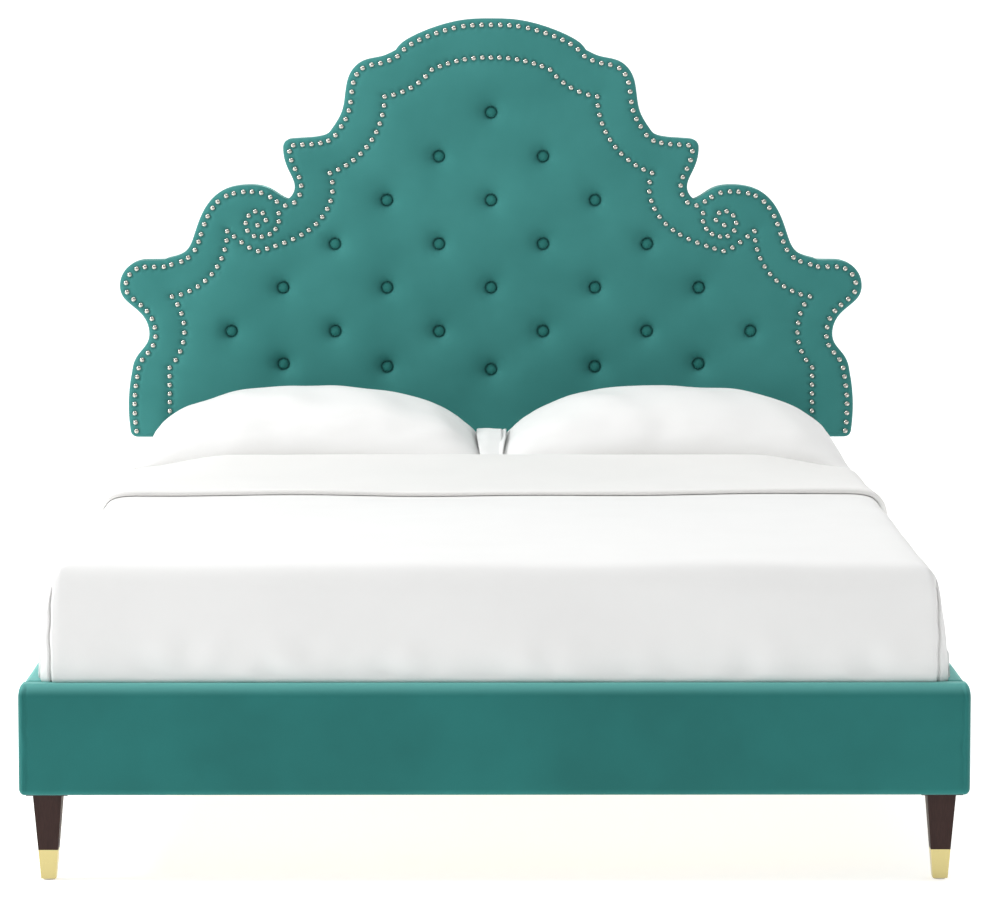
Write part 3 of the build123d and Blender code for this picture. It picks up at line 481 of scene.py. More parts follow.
@dataclass
class Workshop:
    """Every finish of the bed, built once."""
    velvet: bpy.types.Material = field(init=False)
    made: dict[str, bpy.types.Material] = field(default_factory=dict)

    def __post_init__(self) -> None:
        """Build the finishes."""
        rail_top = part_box("foot_rail_cover")[1].z
        teal = Velvet("teal_velvet", "3d8682", "357c78", "b4e6df", 0.9)
        finishes = [
            teal,
            # the rails take a darker copy of the teal velvet, painted shade on their faces, and a painted highlight
            # along their top 21 mm
            Velvet("rail_velvet_painted_shade_and_highlight", "287571", "246c68", "b4e6df", 0.75, "62aca7", (rail_top - 21 * MM, rail_top)),
            # the buttons take a darker copy of the teal velvet with less sheen: painted shade for buttons sunk in their
            # dimples
            Velvet("button_velvet", "2a756f", "27706b", "8fd0c9", 0.5),
            WovenCotton("cotton_sheet", "f4f3f1"),
            WovenCotton("cotton_cover", "f4f4f3", 1.8, 0.1),
            WovenCotton("cotton_case", "f6f6f5", 1.4, 0.1),
            WovenCotton("knit_ticking", "e9e7e2", 3.0, 0.4),
            WovenCotton("spunbond_cloth", "1d1f21", 2.4, 0.5),
            WovenCotton("webbing_tape", "17181a", 2.0, 0.6),
            Timber("stained_rubberwood", "38211c", "2b1713", Grain.ALONG_Z, 0.5),
            Timber("stained_strut", "4a342d", "35231e", Grain.ALONG_Z, 0.5, 0.1),
            Timber("pine_along_x", "d8b98c", "bd9560", Grain.ALONG_X, 0.6),
            Timber("pine_along_y", "d8b98c", "bd9560", Grain.ALONG_Y, 0.6),
            Timber("birch_slat", "e2c89e", "cfae7d", Grain.ALONG_X, 0.5, 0.0, 7.0),
            Timber("plywood_face", "c9a777", "ae8653", Grain.ALONG_X, 0.6),
            Metal("satin_brass", "c6b880", 0.3, 1.0, (60.0, 60.0, 900.0)),
            Metal("polished_nickel", "cbc8c0", 0.16),
            Metal("zinc_plated_steel", "b4b8bd", 0.38),
            Metal("powder_coated_steel", "191a1c", 0.5, 0.0),
            Matter("cut_foam", "eee3c0", 0.9, 90.0, 0.5),
            Matter("moulded_nylon", "d6d2c8", 0.5),
            Matter("black_plastic", "1b1c1e", 0.5),
            Matter("cotton_twine", "cfc9b8", 0.8, 200.0, 0.6),
        ]
        self.made = {finish.name: finish.build() for finish in finishes}
        self.velvet = self.made["teal_velvet"]

    def __getitem__(self, name: str) -> bpy.types.Material:
        """Give the material of that name."""
        return self.made[name]


# ---------------------------------------------------------------- repeated pieces by Geometry Nodes

@dataclass(frozen=True)
class DomeTree:
    """Geometry Nodes tree that stands a domed stud at every point of a mesh, flat side on the point."""
    name: str

    def build(self, finish: bpy.types.Material) -> bpy.types.NodeTree:
        """Build the tree.

        Args:
            finish: Material of the studs.

        Returns:
            The node group, with Radius, Height, Segments and Rings as its inputs.
        """
        tree = bpy.data.node_groups.new(self.name, "GeometryNodeTree")
        face = tree.interface
        face.new_socket("Geometry", in_out="INPUT", socket_type="NodeSocketGeometry")
        for label, value in (("Radius", 5.5 * MM), ("Height", 3.2 * MM)):
            face.new_socket(label, in_out="INPUT", socket_type="NodeSocketFloat").default_value = value
        for label, value in (("Segments", 20), ("Rings", 12)):
            face.new_socket(label, in_out="INPUT", socket_type="NodeSocketInt").default_value = value
        face.new_socket("Geometry", in_out="OUTPUT", socket_type="NodeSocketGeometry")
        ins = add_node(tree, "NodeGroupInput")
        ball = add_node(tree, "GeometryNodeMeshUVSphere", {"Segments": ins.outputs["Segments"],
                                                           "Rings": ins.outputs["Rings"],
                                                           "Radius": ins.outputs["Radius"]})
        # the lower half is pressed flat on the cloth and the upper half takes the dome's height
        where = add_node(tree, "GeometryNodeInputPosition")
        parts = add_node(tree, "ShaderNodeSeparateXYZ", {0: where.outputs[0]})
        ratio = add_node(tree, "ShaderNodeMath", {0: ins.outputs["Height"], 1: ins.outputs["Radius"]},
                         operation="DIVIDE")
        up = add_node(tree, "ShaderNodeMath", {0: parts.outputs[2], 1: 0.0}, operation="MAXIMUM")
        down = add_node(tree, "ShaderNodeMath", {0: parts.outputs[2], 1: 0.0}, operation="MINIMUM")
        tall = add_node(tree, "ShaderNodeMath", {0: up.outputs[0], 1: ratio.outputs[0]}, operation="MULTIPLY")
        flat = add_node(tree, "ShaderNodeMath", {0: down.outputs[0], 1: 0.12}, operation="MULTIPLY")
        level = add_node(tree, "ShaderNodeMath", {0: tall.outputs[0], 1: flat.outputs[0]}, operation="ADD")
        spot = add_node(tree, "ShaderNodeCombineXYZ", {0: parts.outputs[0], 1: parts.outputs[1],
                                                       2: level.outputs[0]})
        shaped = add_node(tree, "GeometryNodeSetPosition", {"Geometry": ball.outputs["Mesh"],
                                                            "Position": spot.outputs[0]})
        smooth = add_node(tree, "GeometryNodeSetShadeSmooth", {0: shaped.outputs[0]})
        # a quarter turn about X makes the dome's top face the foot end
        turn = (math.pi / 2, 0.0, 0.0)
        spread = add_node(tree, "GeometryNodeInstanceOnPoints", {"Points": ins.outputs["Geometry"],
                                                                 "Instance": smooth.outputs[0],
                                                                 "Rotation": turn})
        real = add_node(tree, "GeometryNodeRealizeInstances", {0: spread.outputs[0]})
        dress = add_node(tree, "GeometryNodeSetMaterial", {"Geometry": real.outputs[0], "Material": finish})
        add_node(tree, "NodeGroupOutput", {0: dress.outputs[0]})
        return tree


@dataclass(frozen=True)
class StapleTree:
    """Geometry Nodes tree that lays a flat wire staple at every point, turned along the point's tangent."""
    name: str

    def build(self, finish: bpy.types.Material) -> bpy.types.NodeTree:
        """Build the tree.

        Args:
            finish: Material of the staples.

        Returns:
            The node group, with Width and Wire as its inputs. Points carry the attribute turn.
        """
        tree = bpy.data.node_groups.new(self.name, "GeometryNodeTree")
        face = tree.interface
        face.new_socket("Geometry", in_out="INPUT", socket_type="NodeSocketGeometry")
        for label, value in (("Width", 11 * MM), ("Wire", 1.1 * MM)):
            face.new_socket(label, in_out="INPUT", socket_type="NodeSocketFloat").default_value = value
        face.new_socket("Geometry", in_out="OUTPUT", socket_type="NodeSocketGeometry")
        ins = add_node(tree, "NodeGroupInput")
        size = add_node(tree, "ShaderNodeCombineXYZ", {0: ins.outputs["Width"], 1: ins.outputs["Wire"],
                                                       2: ins.outputs["Wire"]})
        bar = add_node(tree, "GeometryNodeMeshCube", {"Size": size.outputs[0], "Vertices X": 4})
        turn = add_node(tree, "GeometryNodeInputNamedAttribute", {"Name": "turn"}, data_type="FLOAT_VECTOR")
        spread = add_node(tree, "GeometryNodeInstanceOnPoints", {"Points": ins.outputs["Geometry"],
                                                                 "Instance": bar.outputs["Mesh"],
                                                                 "Rotation": turn.outputs[0]})
        real = add_node(tree, "GeometryNodeRealizeInstances", {0: spread.outputs[0]})
        dress = add_node(tree, "GeometryNodeSetMaterial", {"Geometry": real.outputs[0], "Material": finish})
        add_node(tree, "NodeGroupOutput", {0: dress.outputs[0]})
        return tree


def grow_on_points(name: str, tree: bpy.types.NodeTree, points: np.ndarray, finish: bpy.types.Material,
                   values: dict[str, float], turns: np.ndarray | None = None) -> bpy.types.Object:
    """Run a Geometry Nodes tree on loose points and keep the result as a plain mesh.

    Args:
        name: The piece's name.
        tree: Tree to run.
        points: Places of the repeated piece.
        finish: Material of the piece.
        values: Values of the tree's named inputs.
        turns: Rotation of each copy, as Euler angles, or None.

    Returns:
        The finished object.
    """
    mesh = bpy.data.meshes.new(name + "_points")
    mesh.from_pydata([tuple(map(float, p)) for p in points], [], [])
    if turns is not None:
        layer = mesh.attributes.new("turn", "FLOAT_VECTOR", "POINT")
        layer.data.foreach_set("vector", np.asarray(turns, dtype=float).ravel())
    maker = bpy.data.objects.new(name + "_maker", mesh)
    bpy.context.scene.collection.objects.link(maker)
    modifier = maker.modifiers.new("grow", "NODES")
    modifier.node_group = tree
    for item in tree.interface.items_tree:
        if item.item_type == "SOCKET" and item.in_out == "INPUT" and item.name in values:
            modifier[item.identifier] = values[item.name]
    maker.update_tag()
    graph = bpy.context.evaluated_depsgraph_get()
    made = bpy.data.meshes.new_from_object(maker.evaluated_get(graph))
    maker.modifiers.remove(modifier)
    bpy.data.objects.remove(maker)
    made.name = name
    if not made.materials:
        made.materials.append(finish)
    piece = bpy.data.objects.new(name, made)
    bpy.context.scene.collection.objects.link(piece)
    return piece


# ---------------------------------------------------------------- surfaces

def axis_ticks(low: float, high: float, step: float, fine_low: float = 0.0, fine_high: float = 0.0,
               fine: float = 2.5 * MM) -> np.ndarray:
    """Grid lines from low to high, closer together near each end.

    Args:
        low: First line.
        high: Last line.
        step: Spacing in the middle.
        fine_low: Length of the close zone at the low end.
        fine_high: Length of the close zone at the high end.
        fine: Spacing in the close zones.

    Returns:
        The lines, in order.
    """
    spots = [low]
    for start, end, pitch in ((low, low + fine_low, fine), (low + fine_low, high - fine_high, step),
                              (high - fine_high, high, fine)):
        count = max(1, round((end - start) / pitch)) if end - start > 1e-6 else 0
        spots += [start + (end - start) * (i + 1) / count for i in range(count)]
    return np.array(spots)


def box_lattice(xs: np.ndarray, ys: np.ndarray, zs: np.ndarray,
                open_sides: Iterable[str] = ()) -> tuple[np.ndarray, list]:
    """Quads over the surface of a box whose grid lines are given, welded at its edges.

    Args:
        xs: Grid lines along X.
        ys: Grid lines along Y.
        zs: Grid lines along Z.
        open_sides: Sides left out, such as z- or y+.

    Returns:
        Vertices, one row each, and quads that face outwards.
    """
    index: dict[tuple[int, int, int], int] = {}
    points, faces = [], []

    def corner(i: int, j: int, k: int) -> int:
        """Index of the vertex at a grid crossing."""
        key = (i, j, k)
        if key not in index:
            index[key] = len(points)
            points.append((xs[i], ys[j], zs[k]))
        return index[key]

    lines = (len(xs), len(ys), len(zs))
    for axis in range(3):
        first, second = (axis + 1) % 3, (axis + 2) % 3
        for end, mark in ((0, "-"), (lines[axis] - 1, "+")):
            if "xyz"[axis] + mark in open_sides:
                continue
            for a in range(lines[first] - 1):
                for b in range(lines[second] - 1):
                    loop = []
                    for da, db in ((0, 0), (1, 0), (1, 1), (0, 1)):
                        spot = [0, 0, 0]
                        spot[axis], spot[first], spot[second] = end, a + da, b + db
                        loop.append(corner(*spot))
                    faces.append(loop if mark == "+" else loop[::-1])
    return np.array(points), faces


def rounded(points: np.ndarray, low: np.ndarray, high: np.ndarray, ease_low: Iterable[float],
            ease_high: Iterable[float]) -> np.ndarray:
    """Pull points on a box's surface in to one with rounded edges.

    Args:
        points: Points on the box, one row each.
        low: Lowest corner of the box.
        high: Highest corner of the box.
        ease_low: Rounding depth at the low side of each axis.
        ease_high: Rounding depth at the high side of each axis.

    Returns:
        The moved points.
    """
    down, up = np.array(list(ease_low)), np.array(list(ease_high))
    core = np.clip(points, low + down, high - up)
    reach = points - core
    scale = np.where(reach < 0, down, up)
    way = reach / np.maximum(scale, 1e-9)
    length = np.linalg.norm(way, axis=1, keepdims=True)
    return np.where(length > 1e-9, core + scale * way / np.maximum(length, 1e-9), points)


def curve_through(spots: Iterable[tuple[float, ...]], count: int) -> np.ndarray:
    """Smooth open curve through a few points, evenly sampled.

    Args:
        spots: Points that the curve passes through.
        count: Number of samples.

    Returns:
        The samples, one row each.
    """
    knots = np.array(list(spots), dtype=float)
    padded = np.vstack([2 * knots[0] - knots[1], knots, 2 * knots[-1] - knots[-2]])
    dense = []
    for i in range(1, len(padded) - 2):
        p0, p1, p2, p3 = padded[i - 1:i + 3]
        t = np.linspace(0, 1, 40, endpoint=False)[:, None]
        dense.append(0.5 * (2 * p1 + (p2 - p0) * t + (2 * p0 - 5 * p1 + 4 * p2 - p3) * t ** 2
                            + (3 * p1 - p0 - 3 * p2 + p3) * t ** 3))
    dense = np.vstack(dense + [knots[-1:]])
    gone = np.concatenate([[0], np.cumsum(np.linalg.norm(np.diff(dense, axis=0), axis=1))])
    wanted = np.linspace(0, gone[-1], count)
    return np.column_stack([np.interp(wanted, gone, dense[:, k]) for k in range(dense.shape[1])])


def grid_faces(rows: int, columns: int, start: int = 0) -> list:
    """Quads of a grid whose vertices are numbered row by row.

    Args:
        rows: Number of rows of vertices.
        columns: Number of vertices in a row.
        start: Index of the first vertex.

    Returns:
        The quads.
    """
    return [(start + r * columns + c, start + r * columns + c + 1,
             start + (r + 1) * columns + c + 1, start + (r + 1) * columns + c)
            for r in range(rows - 1) for c in range(columns - 1)]


@dataclass(frozen=True)
class ClothPass:
    """Short cloth simulation with inner pressure, which fills a sewn piece and wrinkles it at its seams."""
    frames: int = 20
    pressure: float = 4.0
    cap: float = 12 * MM
    stiffness: float = 12.0
    shrink: float = 0.0

    def run(self, piece: bpy.types.Object, held: Callable[[np.ndarray], np.ndarray] | None = None) -> None:
        """Simulate, cap how far each vertex moves, and keep the result in the mesh.

        Args:
            piece: Closed mesh object at the origin.
            held: Function from vertex places to a share from 0, free, to 1, held still.
        """
        before = np.empty(len(piece.data.vertices) * 3)
        piece.data.vertices.foreach_get("co", before)
        before = before.reshape(-1, 3)
        cloth = piece.modifiers.new("cloth", "CLOTH")
        settings = cloth.settings
        settings.quality = 5
        settings.mass = 0.25
        settings.tension_stiffness = settings.compression_stiffness = self.stiffness
        settings.shear_stiffness = self.stiffness / 3
        settings.bending_stiffness = 0.4
        settings.use_pressure = True
        settings.uniform_pressure_force = self.pressure
        settings.shrink_min = self.shrink
        settings.effector_weights.gravity = 0.0
        cloth.collision_settings.use_collision = False
        cloth.point_cache.frame_start, cloth.point_cache.frame_end = 1, self.frames
        scene = bpy.context.scene
        for step in range(1, self.frames + 1):
            scene.frame_set(step)
        graph = bpy.context.evaluated_depsgraph_get()
        settled = piece.evaluated_get(graph).to_mesh()
        after = np.empty(len(settled.vertices) * 3)
        settled.vertices.foreach_get("co", after)
        piece.evaluated_get(graph).to_mesh_clear()
        piece.modifiers.remove(cloth)
        scene.frame_set(1)
        move = after.reshape(-1, 3) - before
        if held is not None:
            move *= (1 - held(before))[:, None]
        length = np.linalg.norm(move, axis=1, keepdims=True)
        move *= np.minimum(1.0, self.cap / np.maximum(length, 1e-9))
        piece.data.vertices.foreach_set("co", (before + move).ravel())
        piece.data.update()
        log.info("%s: cloth moved it by up to %.1f mm", piece.name, float(length.max()) / MM)


# ---------------------------------------------------------------- headboard

@dataclass
class HeadboardUpholstery:
    """Velvet pulled over foam, sunk at the covered buttons and nailed along two lines."""
    workshop: Workshop
    edge_roll: float = 15 * MM
    dimple: float = 27 * MM          # how far a button pulls the velvet in
    dimple_reach: float = 26 * MM
    throat_reach: float = 8 * MM     # how far the steep part beside a button goes
    button_gap: float = 4 * MM       # depth of the fold right round a button
    button_radius: float = 11 * MM
    groove: float = 3.2 * MM         # how far an outer row of nails pulls it in
    groove_reach: float = 8.5 * MM
    valley: float = 6.0 * MM         # how far the row round the tufted field pulls it in
    valley_reach: float = 15 * MM
    nail_pit: float = 1.3 * MM       # extra sinking right beside a nail head
    mesh_step: float = 6 * MM
    back_turn: float = 0.6 * MM      # back edge in front of the dust cloth's back
    outline: np.ndarray = field(init=False)
    buttons: np.ndarray = field(init=False)
    nails: dict[str, np.ndarray] = field(init=False)

    def __post_init__(self) -> None:
        """Read the outline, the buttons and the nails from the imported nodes."""
        low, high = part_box("headboard_cover")
        self.front, self.back = low.y, high.y
        self.outline = self.read_outline()
        boxes = island_middles("tuft_buttons")
        self.buttons = boxes.mean(axis=1)[:, [0, 2]]
        self.nails = {node: island_middles(node).mean(axis=1)[:, [0, 2]]
                      for node in ("outline_nails", "field_nails", "scroll_nails")}
        log.info("headboard: %d outline points, %d buttons, %d nails", len(self.outline),
                 len(self.buttons), sum(map(len, self.nails.values())))

    def read_outline(self) -> np.ndarray:
        """Take the cover's outline from the edge of its front face and smooth its facets.

        Returns:
            Points in X and Z about 5 mm apart, anticlockwise as seen from the foot end.
        """
        points, tris = node_points("headboard_cover")
        front = np.all(points[tris][:, :, 1] < self.front + 0.1 * MM, axis=1)
        uses: dict[tuple[int, int], int] = defaultdict(int)
        for tri in tris[front]:
            for a, b in zip(tri, np.roll(tri, -1)):
                uses[(min(a, b), max(a, b))] += 1
        links: dict[int, list[int]] = defaultdict(list)
        for (a, b), count in uses.items():
            if count == 1:
                links[a].append(b)
                links[b].append(a)
        loops, seen = [], set()
        for start in links:
            if start in seen:
                continue
            loop, here, last = [start], links[start][0], start
            while here != start:
                loop.append(here)
                here, last = next((n for n in links[here] if n != last), start), here
            seen.update(loop)
            loops.append(points[loop][:, [0, 2]])
        ring = max(loops, key=lambda loop: np.ptp(loop[:, 0]))
        if np.sum(ring[:, 0] * np.roll(ring[:, 1], -1) - np.roll(ring[:, 0], -1) * ring[:, 1]) < 0:
            ring = ring[::-1]
        return self.smooth_ring(ring)

    def smooth_ring(self, ring: np.ndarray, step: float = 4.5 * MM, corner: float = 0.5) -> np.ndarray:
        """Resample a ring evenly between its corners and soften its facets.

        Args:
            ring: Corner points of the faceted ring.
            step: Distance between the new points.
            corner: Turn, in radians, from which a point stays sharp.

        Returns:
            The new ring.
        """
        ways = np.roll(ring, -1, axis=0) - ring
        angles = np.arctan2(ways[:, 1], ways[:, 0])
        turns = np.abs((angles - np.roll(angles, 1) + math.pi) % (2 * math.pi) - math.pi)
        sharp = np.where(turns > corner)[0]
        first = sharp[0]
        ring = np.roll(ring, -first, axis=0)
        stops = sorted((s - first) % len(ring) for s in sharp) + [len(ring)]
        ring = np.vstack([ring, ring[:1]])
        parts = []
        for a, b in zip(stops, stops[1:]):
            run = ring[a:b + 1]
            gone = np.concatenate([[0], np.cumsum(np.linalg.norm(np.diff(run, axis=0), axis=1))])
            count = max(2, round(gone[-1] / step))
            wanted = np.linspace(0, gone[-1], count * 4 + 1)
            dense = np.column_stack([np.interp(wanted, gone, run[:, k]) for k in (0, 1)])
            for _ in range(30):
                dense[1:-1] = 0.25 * dense[:-2] + 0.5 * dense[1:-1] + 0.25 * dense[2:]
            parts.append(dense[:-1:4])
        return np.vstack(parts)

    def normals(self) -> np.ndarray:
        """Outward directions of the outline's points."""
        way = np.roll(self.outline, -1, axis=0) - np.roll(self.outline, 1, axis=0)
        way /= np.linalg.norm(way, axis=1, keepdims=True)
        return np.column_stack([way[:, 1], -way[:, 0]])

    def distance(self, spots: np.ndarray) -> np.ndarray:
        """Distance from each place to the outline.

        Args:
            spots: Places in X and Z.

        Returns:
            Distances, negative outside.
        """
        a = self.outline
        b = np.roll(a, -1, axis=0)
        way = b - a
        size = (way ** 2).sum(axis=1)
        result = np.empty(len(spots))
        for start in range(0, len(spots), 2000):
            part = spots[start:start + 2000]
            rel = part[:, None, :] - a[None]
            t = np.clip((rel * way).sum(axis=2) / size, 0, 1)
            near = np.linalg.norm(rel - t[..., None] * way, axis=2).min(axis=1)
            cross = ((a[:, 1] > part[:, 1:]) != (b[:, 1] > part[:, 1:]))
            at = a[:, 0] + (part[:, 1:] - a[:, 1]) * way[:, 0] / np.where(way[:, 1] == 0, 1e-12, way[:, 1])
            inside = (cross & (part[:, :1] < at)).sum(axis=1) % 2 == 1
            result[start:start + 2000] = np.where(inside, near, -near)
        return result

    def depth(self, spots: np.ndarray, edge: np.ndarray) -> np.ndarray:
        """How far the velvet lies behind its flat face.

        Args:
            spots: Places in X and Z.
            edge: Distance of each place to the outline.

        Returns:
            Depths in metres.
        """
        t = np.clip(edge / self.edge_roll, 0, 1)
        sunk = self.edge_roll * (1 - np.sqrt(np.clip(1 - (1 - t) ** 2, 0, 1)))
        for spot in self.buttons:
            away = np.linalg.norm(spots - spot, axis=1)
            past = np.maximum(away - self.button_radius * 0.9, 0)
            sunk += self.dimple * (0.6 * np.exp(-past / self.dimple_reach) + 0.4 * np.exp(-past / self.throat_reach))
            sunk += self.button_gap * np.exp(-((away - self.button_radius - 1.5 * MM) / (2.2 * MM)) ** 2)
        for node, row in self.nails.items():
            pull, reach = ((self.valley, self.valley_reach) if node == "field_nails"
                           else (self.groove, self.groove_reach))
            nearest = np.full(len(spots), np.inf)
            for spot in row:
                away = np.linalg.norm(spots - spot, axis=1)
                sunk += self.nail_pit * np.exp(-((away - 6.2 * MM) / (2.2 * MM)) ** 2)
                nearest = np.minimum(nearest, away)
            sunk += pull * np.exp(-np.maximum(nearest - 5 * MM, 0) / reach)
        place = np.column_stack([spots[:, 0], np.zeros(len(spots)), spots[:, 1]])
        sunk += 0.5 * MM * lattice_noise(place, 0.11, 5) * np.minimum(1, edge / (30 * MM))
        return sunk + 0.8 * MM

    def face_spots(self) -> np.ndarray:
        """Places of the face's vertices: rows along the edge, rings round the buttons, a hexagonal field."""
        rows = [self.outline - self.normals() * inset * MM for inset in (0.6, 1.8, 3.6, 6.0, 9.0, 12.5)]
        insets = np.repeat((0.6, 1.8, 3.6, 6.0, 9.0, 12.5), len(self.outline)) * MM
        rows = np.vstack(rows)
        rows = rows[self.distance(rows) > insets * 0.96]
        rings = []
        for radius, count in ((0, 1), (5, 10), (9, 18), (11, 24), (13, 26), (15.5, 28), (18.5, 30), (22, 30), (26, 30)):
            turn = np.arange(count) * 2 * math.pi / count + radius
            offsets = np.column_stack([np.cos(turn), np.sin(turn)]) * radius * MM
            rings.append((self.buttons[:, None] + offsets[None]).reshape(-1, 2))
        heads = np.vstack(list(self.nails.values()))
        for radius, count in ((0, 1), (4, 8), (6, 12), (8.3, 12)):
            turn = np.arange(count) * 2 * math.pi / count + radius
            offsets = np.column_stack([np.cos(turn), np.sin(turn)]) * radius * MM
            rings.append((heads[:, None] + offsets[None]).reshape(-1, 2))
        rings = np.vstack(rings)
        rings = rings[self.distance(rings) > 1.0 * MM]
        low, high = self.outline.min(axis=0), self.outline.max(axis=0)
        tall = self.mesh_step * math.sqrt(3) / 2
        field_rows = []
        for r, z in enumerate(np.arange(low[1], high[1], tall)):
            xs = np.arange(low[0], high[0], self.mesh_step) + (r % 2) * self.mesh_step / 2
            field_rows.append(np.column_stack([xs, np.full(len(xs), z)]))
        middle = np.vstack(field_rows)
        middle = middle[self.distance(middle) > 16 * MM]
        near = np.full(len(middle), np.inf)
        for spot in self.buttons:
            near = np.minimum(near, np.linalg.norm(middle - spot, axis=1))
        middle = middle[near > 29.5 * MM]
        near = np.full(len(middle), np.inf)
        row_near = np.full(len(rows), np.inf)
        for spot in heads:
            near = np.minimum(near, np.linalg.norm(middle - spot, axis=1))
            row_near = np.minimum(row_near, np.linalg.norm(rows - spot, axis=1))
        return np.vstack([rows[row_near > 10 * MM], rings, middle[near > 11 * MM]])

    def build_cover(self) -> bpy.types.Object:
        """Build the padded velvet cover, from its face round the edge to its turned-in back."""
        ring, out = self.outline, self.normals()
        count = len(ring)
        spots = np.vstack([ring, self.face_spots()])
        edges = [(i, (i + 1) % count) for i in range(count)]
        flat, _, tris, _, _, _ = delaunay_2d_cdt([Vector(p) for p in spots], edges, [], 1, 1e-6)
        plan = np.array([tuple(v) for v in flat])
        edge = np.maximum(self.distance(plan), 0)
        edge[:count] = 0
        deep = self.depth(plan, edge)
        points = [np.column_stack([plan[:, 0], self.front + deep, plan[:, 1]])]
        faces = [tuple(t) for t in tris]
        last, total = list(range(count)), len(plan)
        seam_y = self.back - self.back_turn
        wall = [(0.0, self.front + 24 * MM), (0.0, self.front + 40 * MM), (0.0, self.back - 14 * MM),
                (0.0, self.back - 3 * MM), (0.8 * MM, self.back - 1.2 * MM), (3 * MM, seam_y),
                (6 * MM, seam_y), (9.5 * MM, seam_y), (9.8 * MM, self.back - 8 * MM)]
        for inset, y in wall:
            shift = ring - out * inset
            points.append(np.column_stack([shift[:, 0], np.full(count, y), shift[:, 1]]))
            here = list(range(total, total + count))
            faces += ring_faces(last, here)
            last, total = here, total + count
        inner = ring - out * 9.8 * MM
        lid, _, lid_tris, origin, _, _ = delaunay_2d_cdt([Vector(p) for p in inner], edges, [], 1, 1e-6)
        keep = [o[0] if o else None for o in origin]
        faces += [tuple(last[keep[i]] for i in t) for t in lid_tris if all(keep[i] is not None for i in t)]
        cover = to_object("headboard_velvet", np.vstack(points), faces, self.workshop.velvet)
        out_facing(cover)
        set_object(cover, "headboard", ("headboard_cover", "headboard_foam"))
        return cover

    def build_buttons(self) -> bpy.types.Object:
        """Build the velvet-covered buttons in their dimples."""
        # darker velvet copy: painted shade in the dimples
        finish = self.workshop["button_velvet"]
        seat = self.front + self.dimple * 0.86
        spots = np.column_stack([self.buttons[:, 0], np.full(len(self.buttons), seat), self.buttons[:, 1]])
        tree = DomeTree("button_tree").build(finish)
        piece = grow_on_points("covered_buttons", tree, spots, finish,
                               {"Radius": self.button_radius, "Height": 5.5 * MM, "Segments": 32, "Rings": 18})
        return set_object(piece, "headboard", ("tuft_buttons",))

    def build_nails(self) -> None:
        """Build the three rows of domed nail heads."""
        finish = self.workshop["polished_nickel"]
        tree = DomeTree("nail_tree").build(finish)
        for node, row in self.nails.items():
            seat = self.front + self.depth(row, self.distance(row)) - 1.4 * MM
            spots = np.column_stack([row[:, 0], seat, row[:, 1]])
            piece = grow_on_points("domed_" + node, tree, spots, finish,
                                   {"Radius": 5.4 * MM, "Height": 3.4 * MM, "Segments": 18, "Rings": 12})
            set_object(piece, "headboard", (node,))

    def build_staples(self) -> bpy.types.Object:
        """Build the staples that hold the dust cloth round the board's back."""
        out = self.normals()
        spots = (self.outline - out * 15 * MM)[::10]
        clear = self.distance(spots) > 13 * MM
        spots, ways = spots[clear], out[::10][clear]
        points = np.column_stack([spots[:, 0], np.full(len(spots), self.back + 0.3 * MM), spots[:, 1]])
        turns = np.column_stack([np.zeros(len(ways)), -np.arctan2(ways[:, 0], -ways[:, 1]) * 1.0,
                                 np.zeros(len(ways))])
        finish = self.workshop["zinc_plated_steel"]
        piece = grow_on_points("dust_cloth_staples", StapleTree("back_staple_tree").build(finish), points, finish,
                               {"Width": 11 * MM, "Wire": 1.1 * MM}, turns)
        return set_object(piece, "headboard")

    def build(self) -> None:
        """Build and dress the headboard."""
        self.build_cover()
        self.build_buttons()
        self.build_nails()
        self.build_staples()


# ---------------------------------------------------------------- rails

class Side(Enum):
    """The way a rail's padded face looks, as axis number and sign."""
    FOOT = (1, -1)
    HEAD = (1, 1)
    LEFT = (0, -1)
    RIGHT = (0, 1)


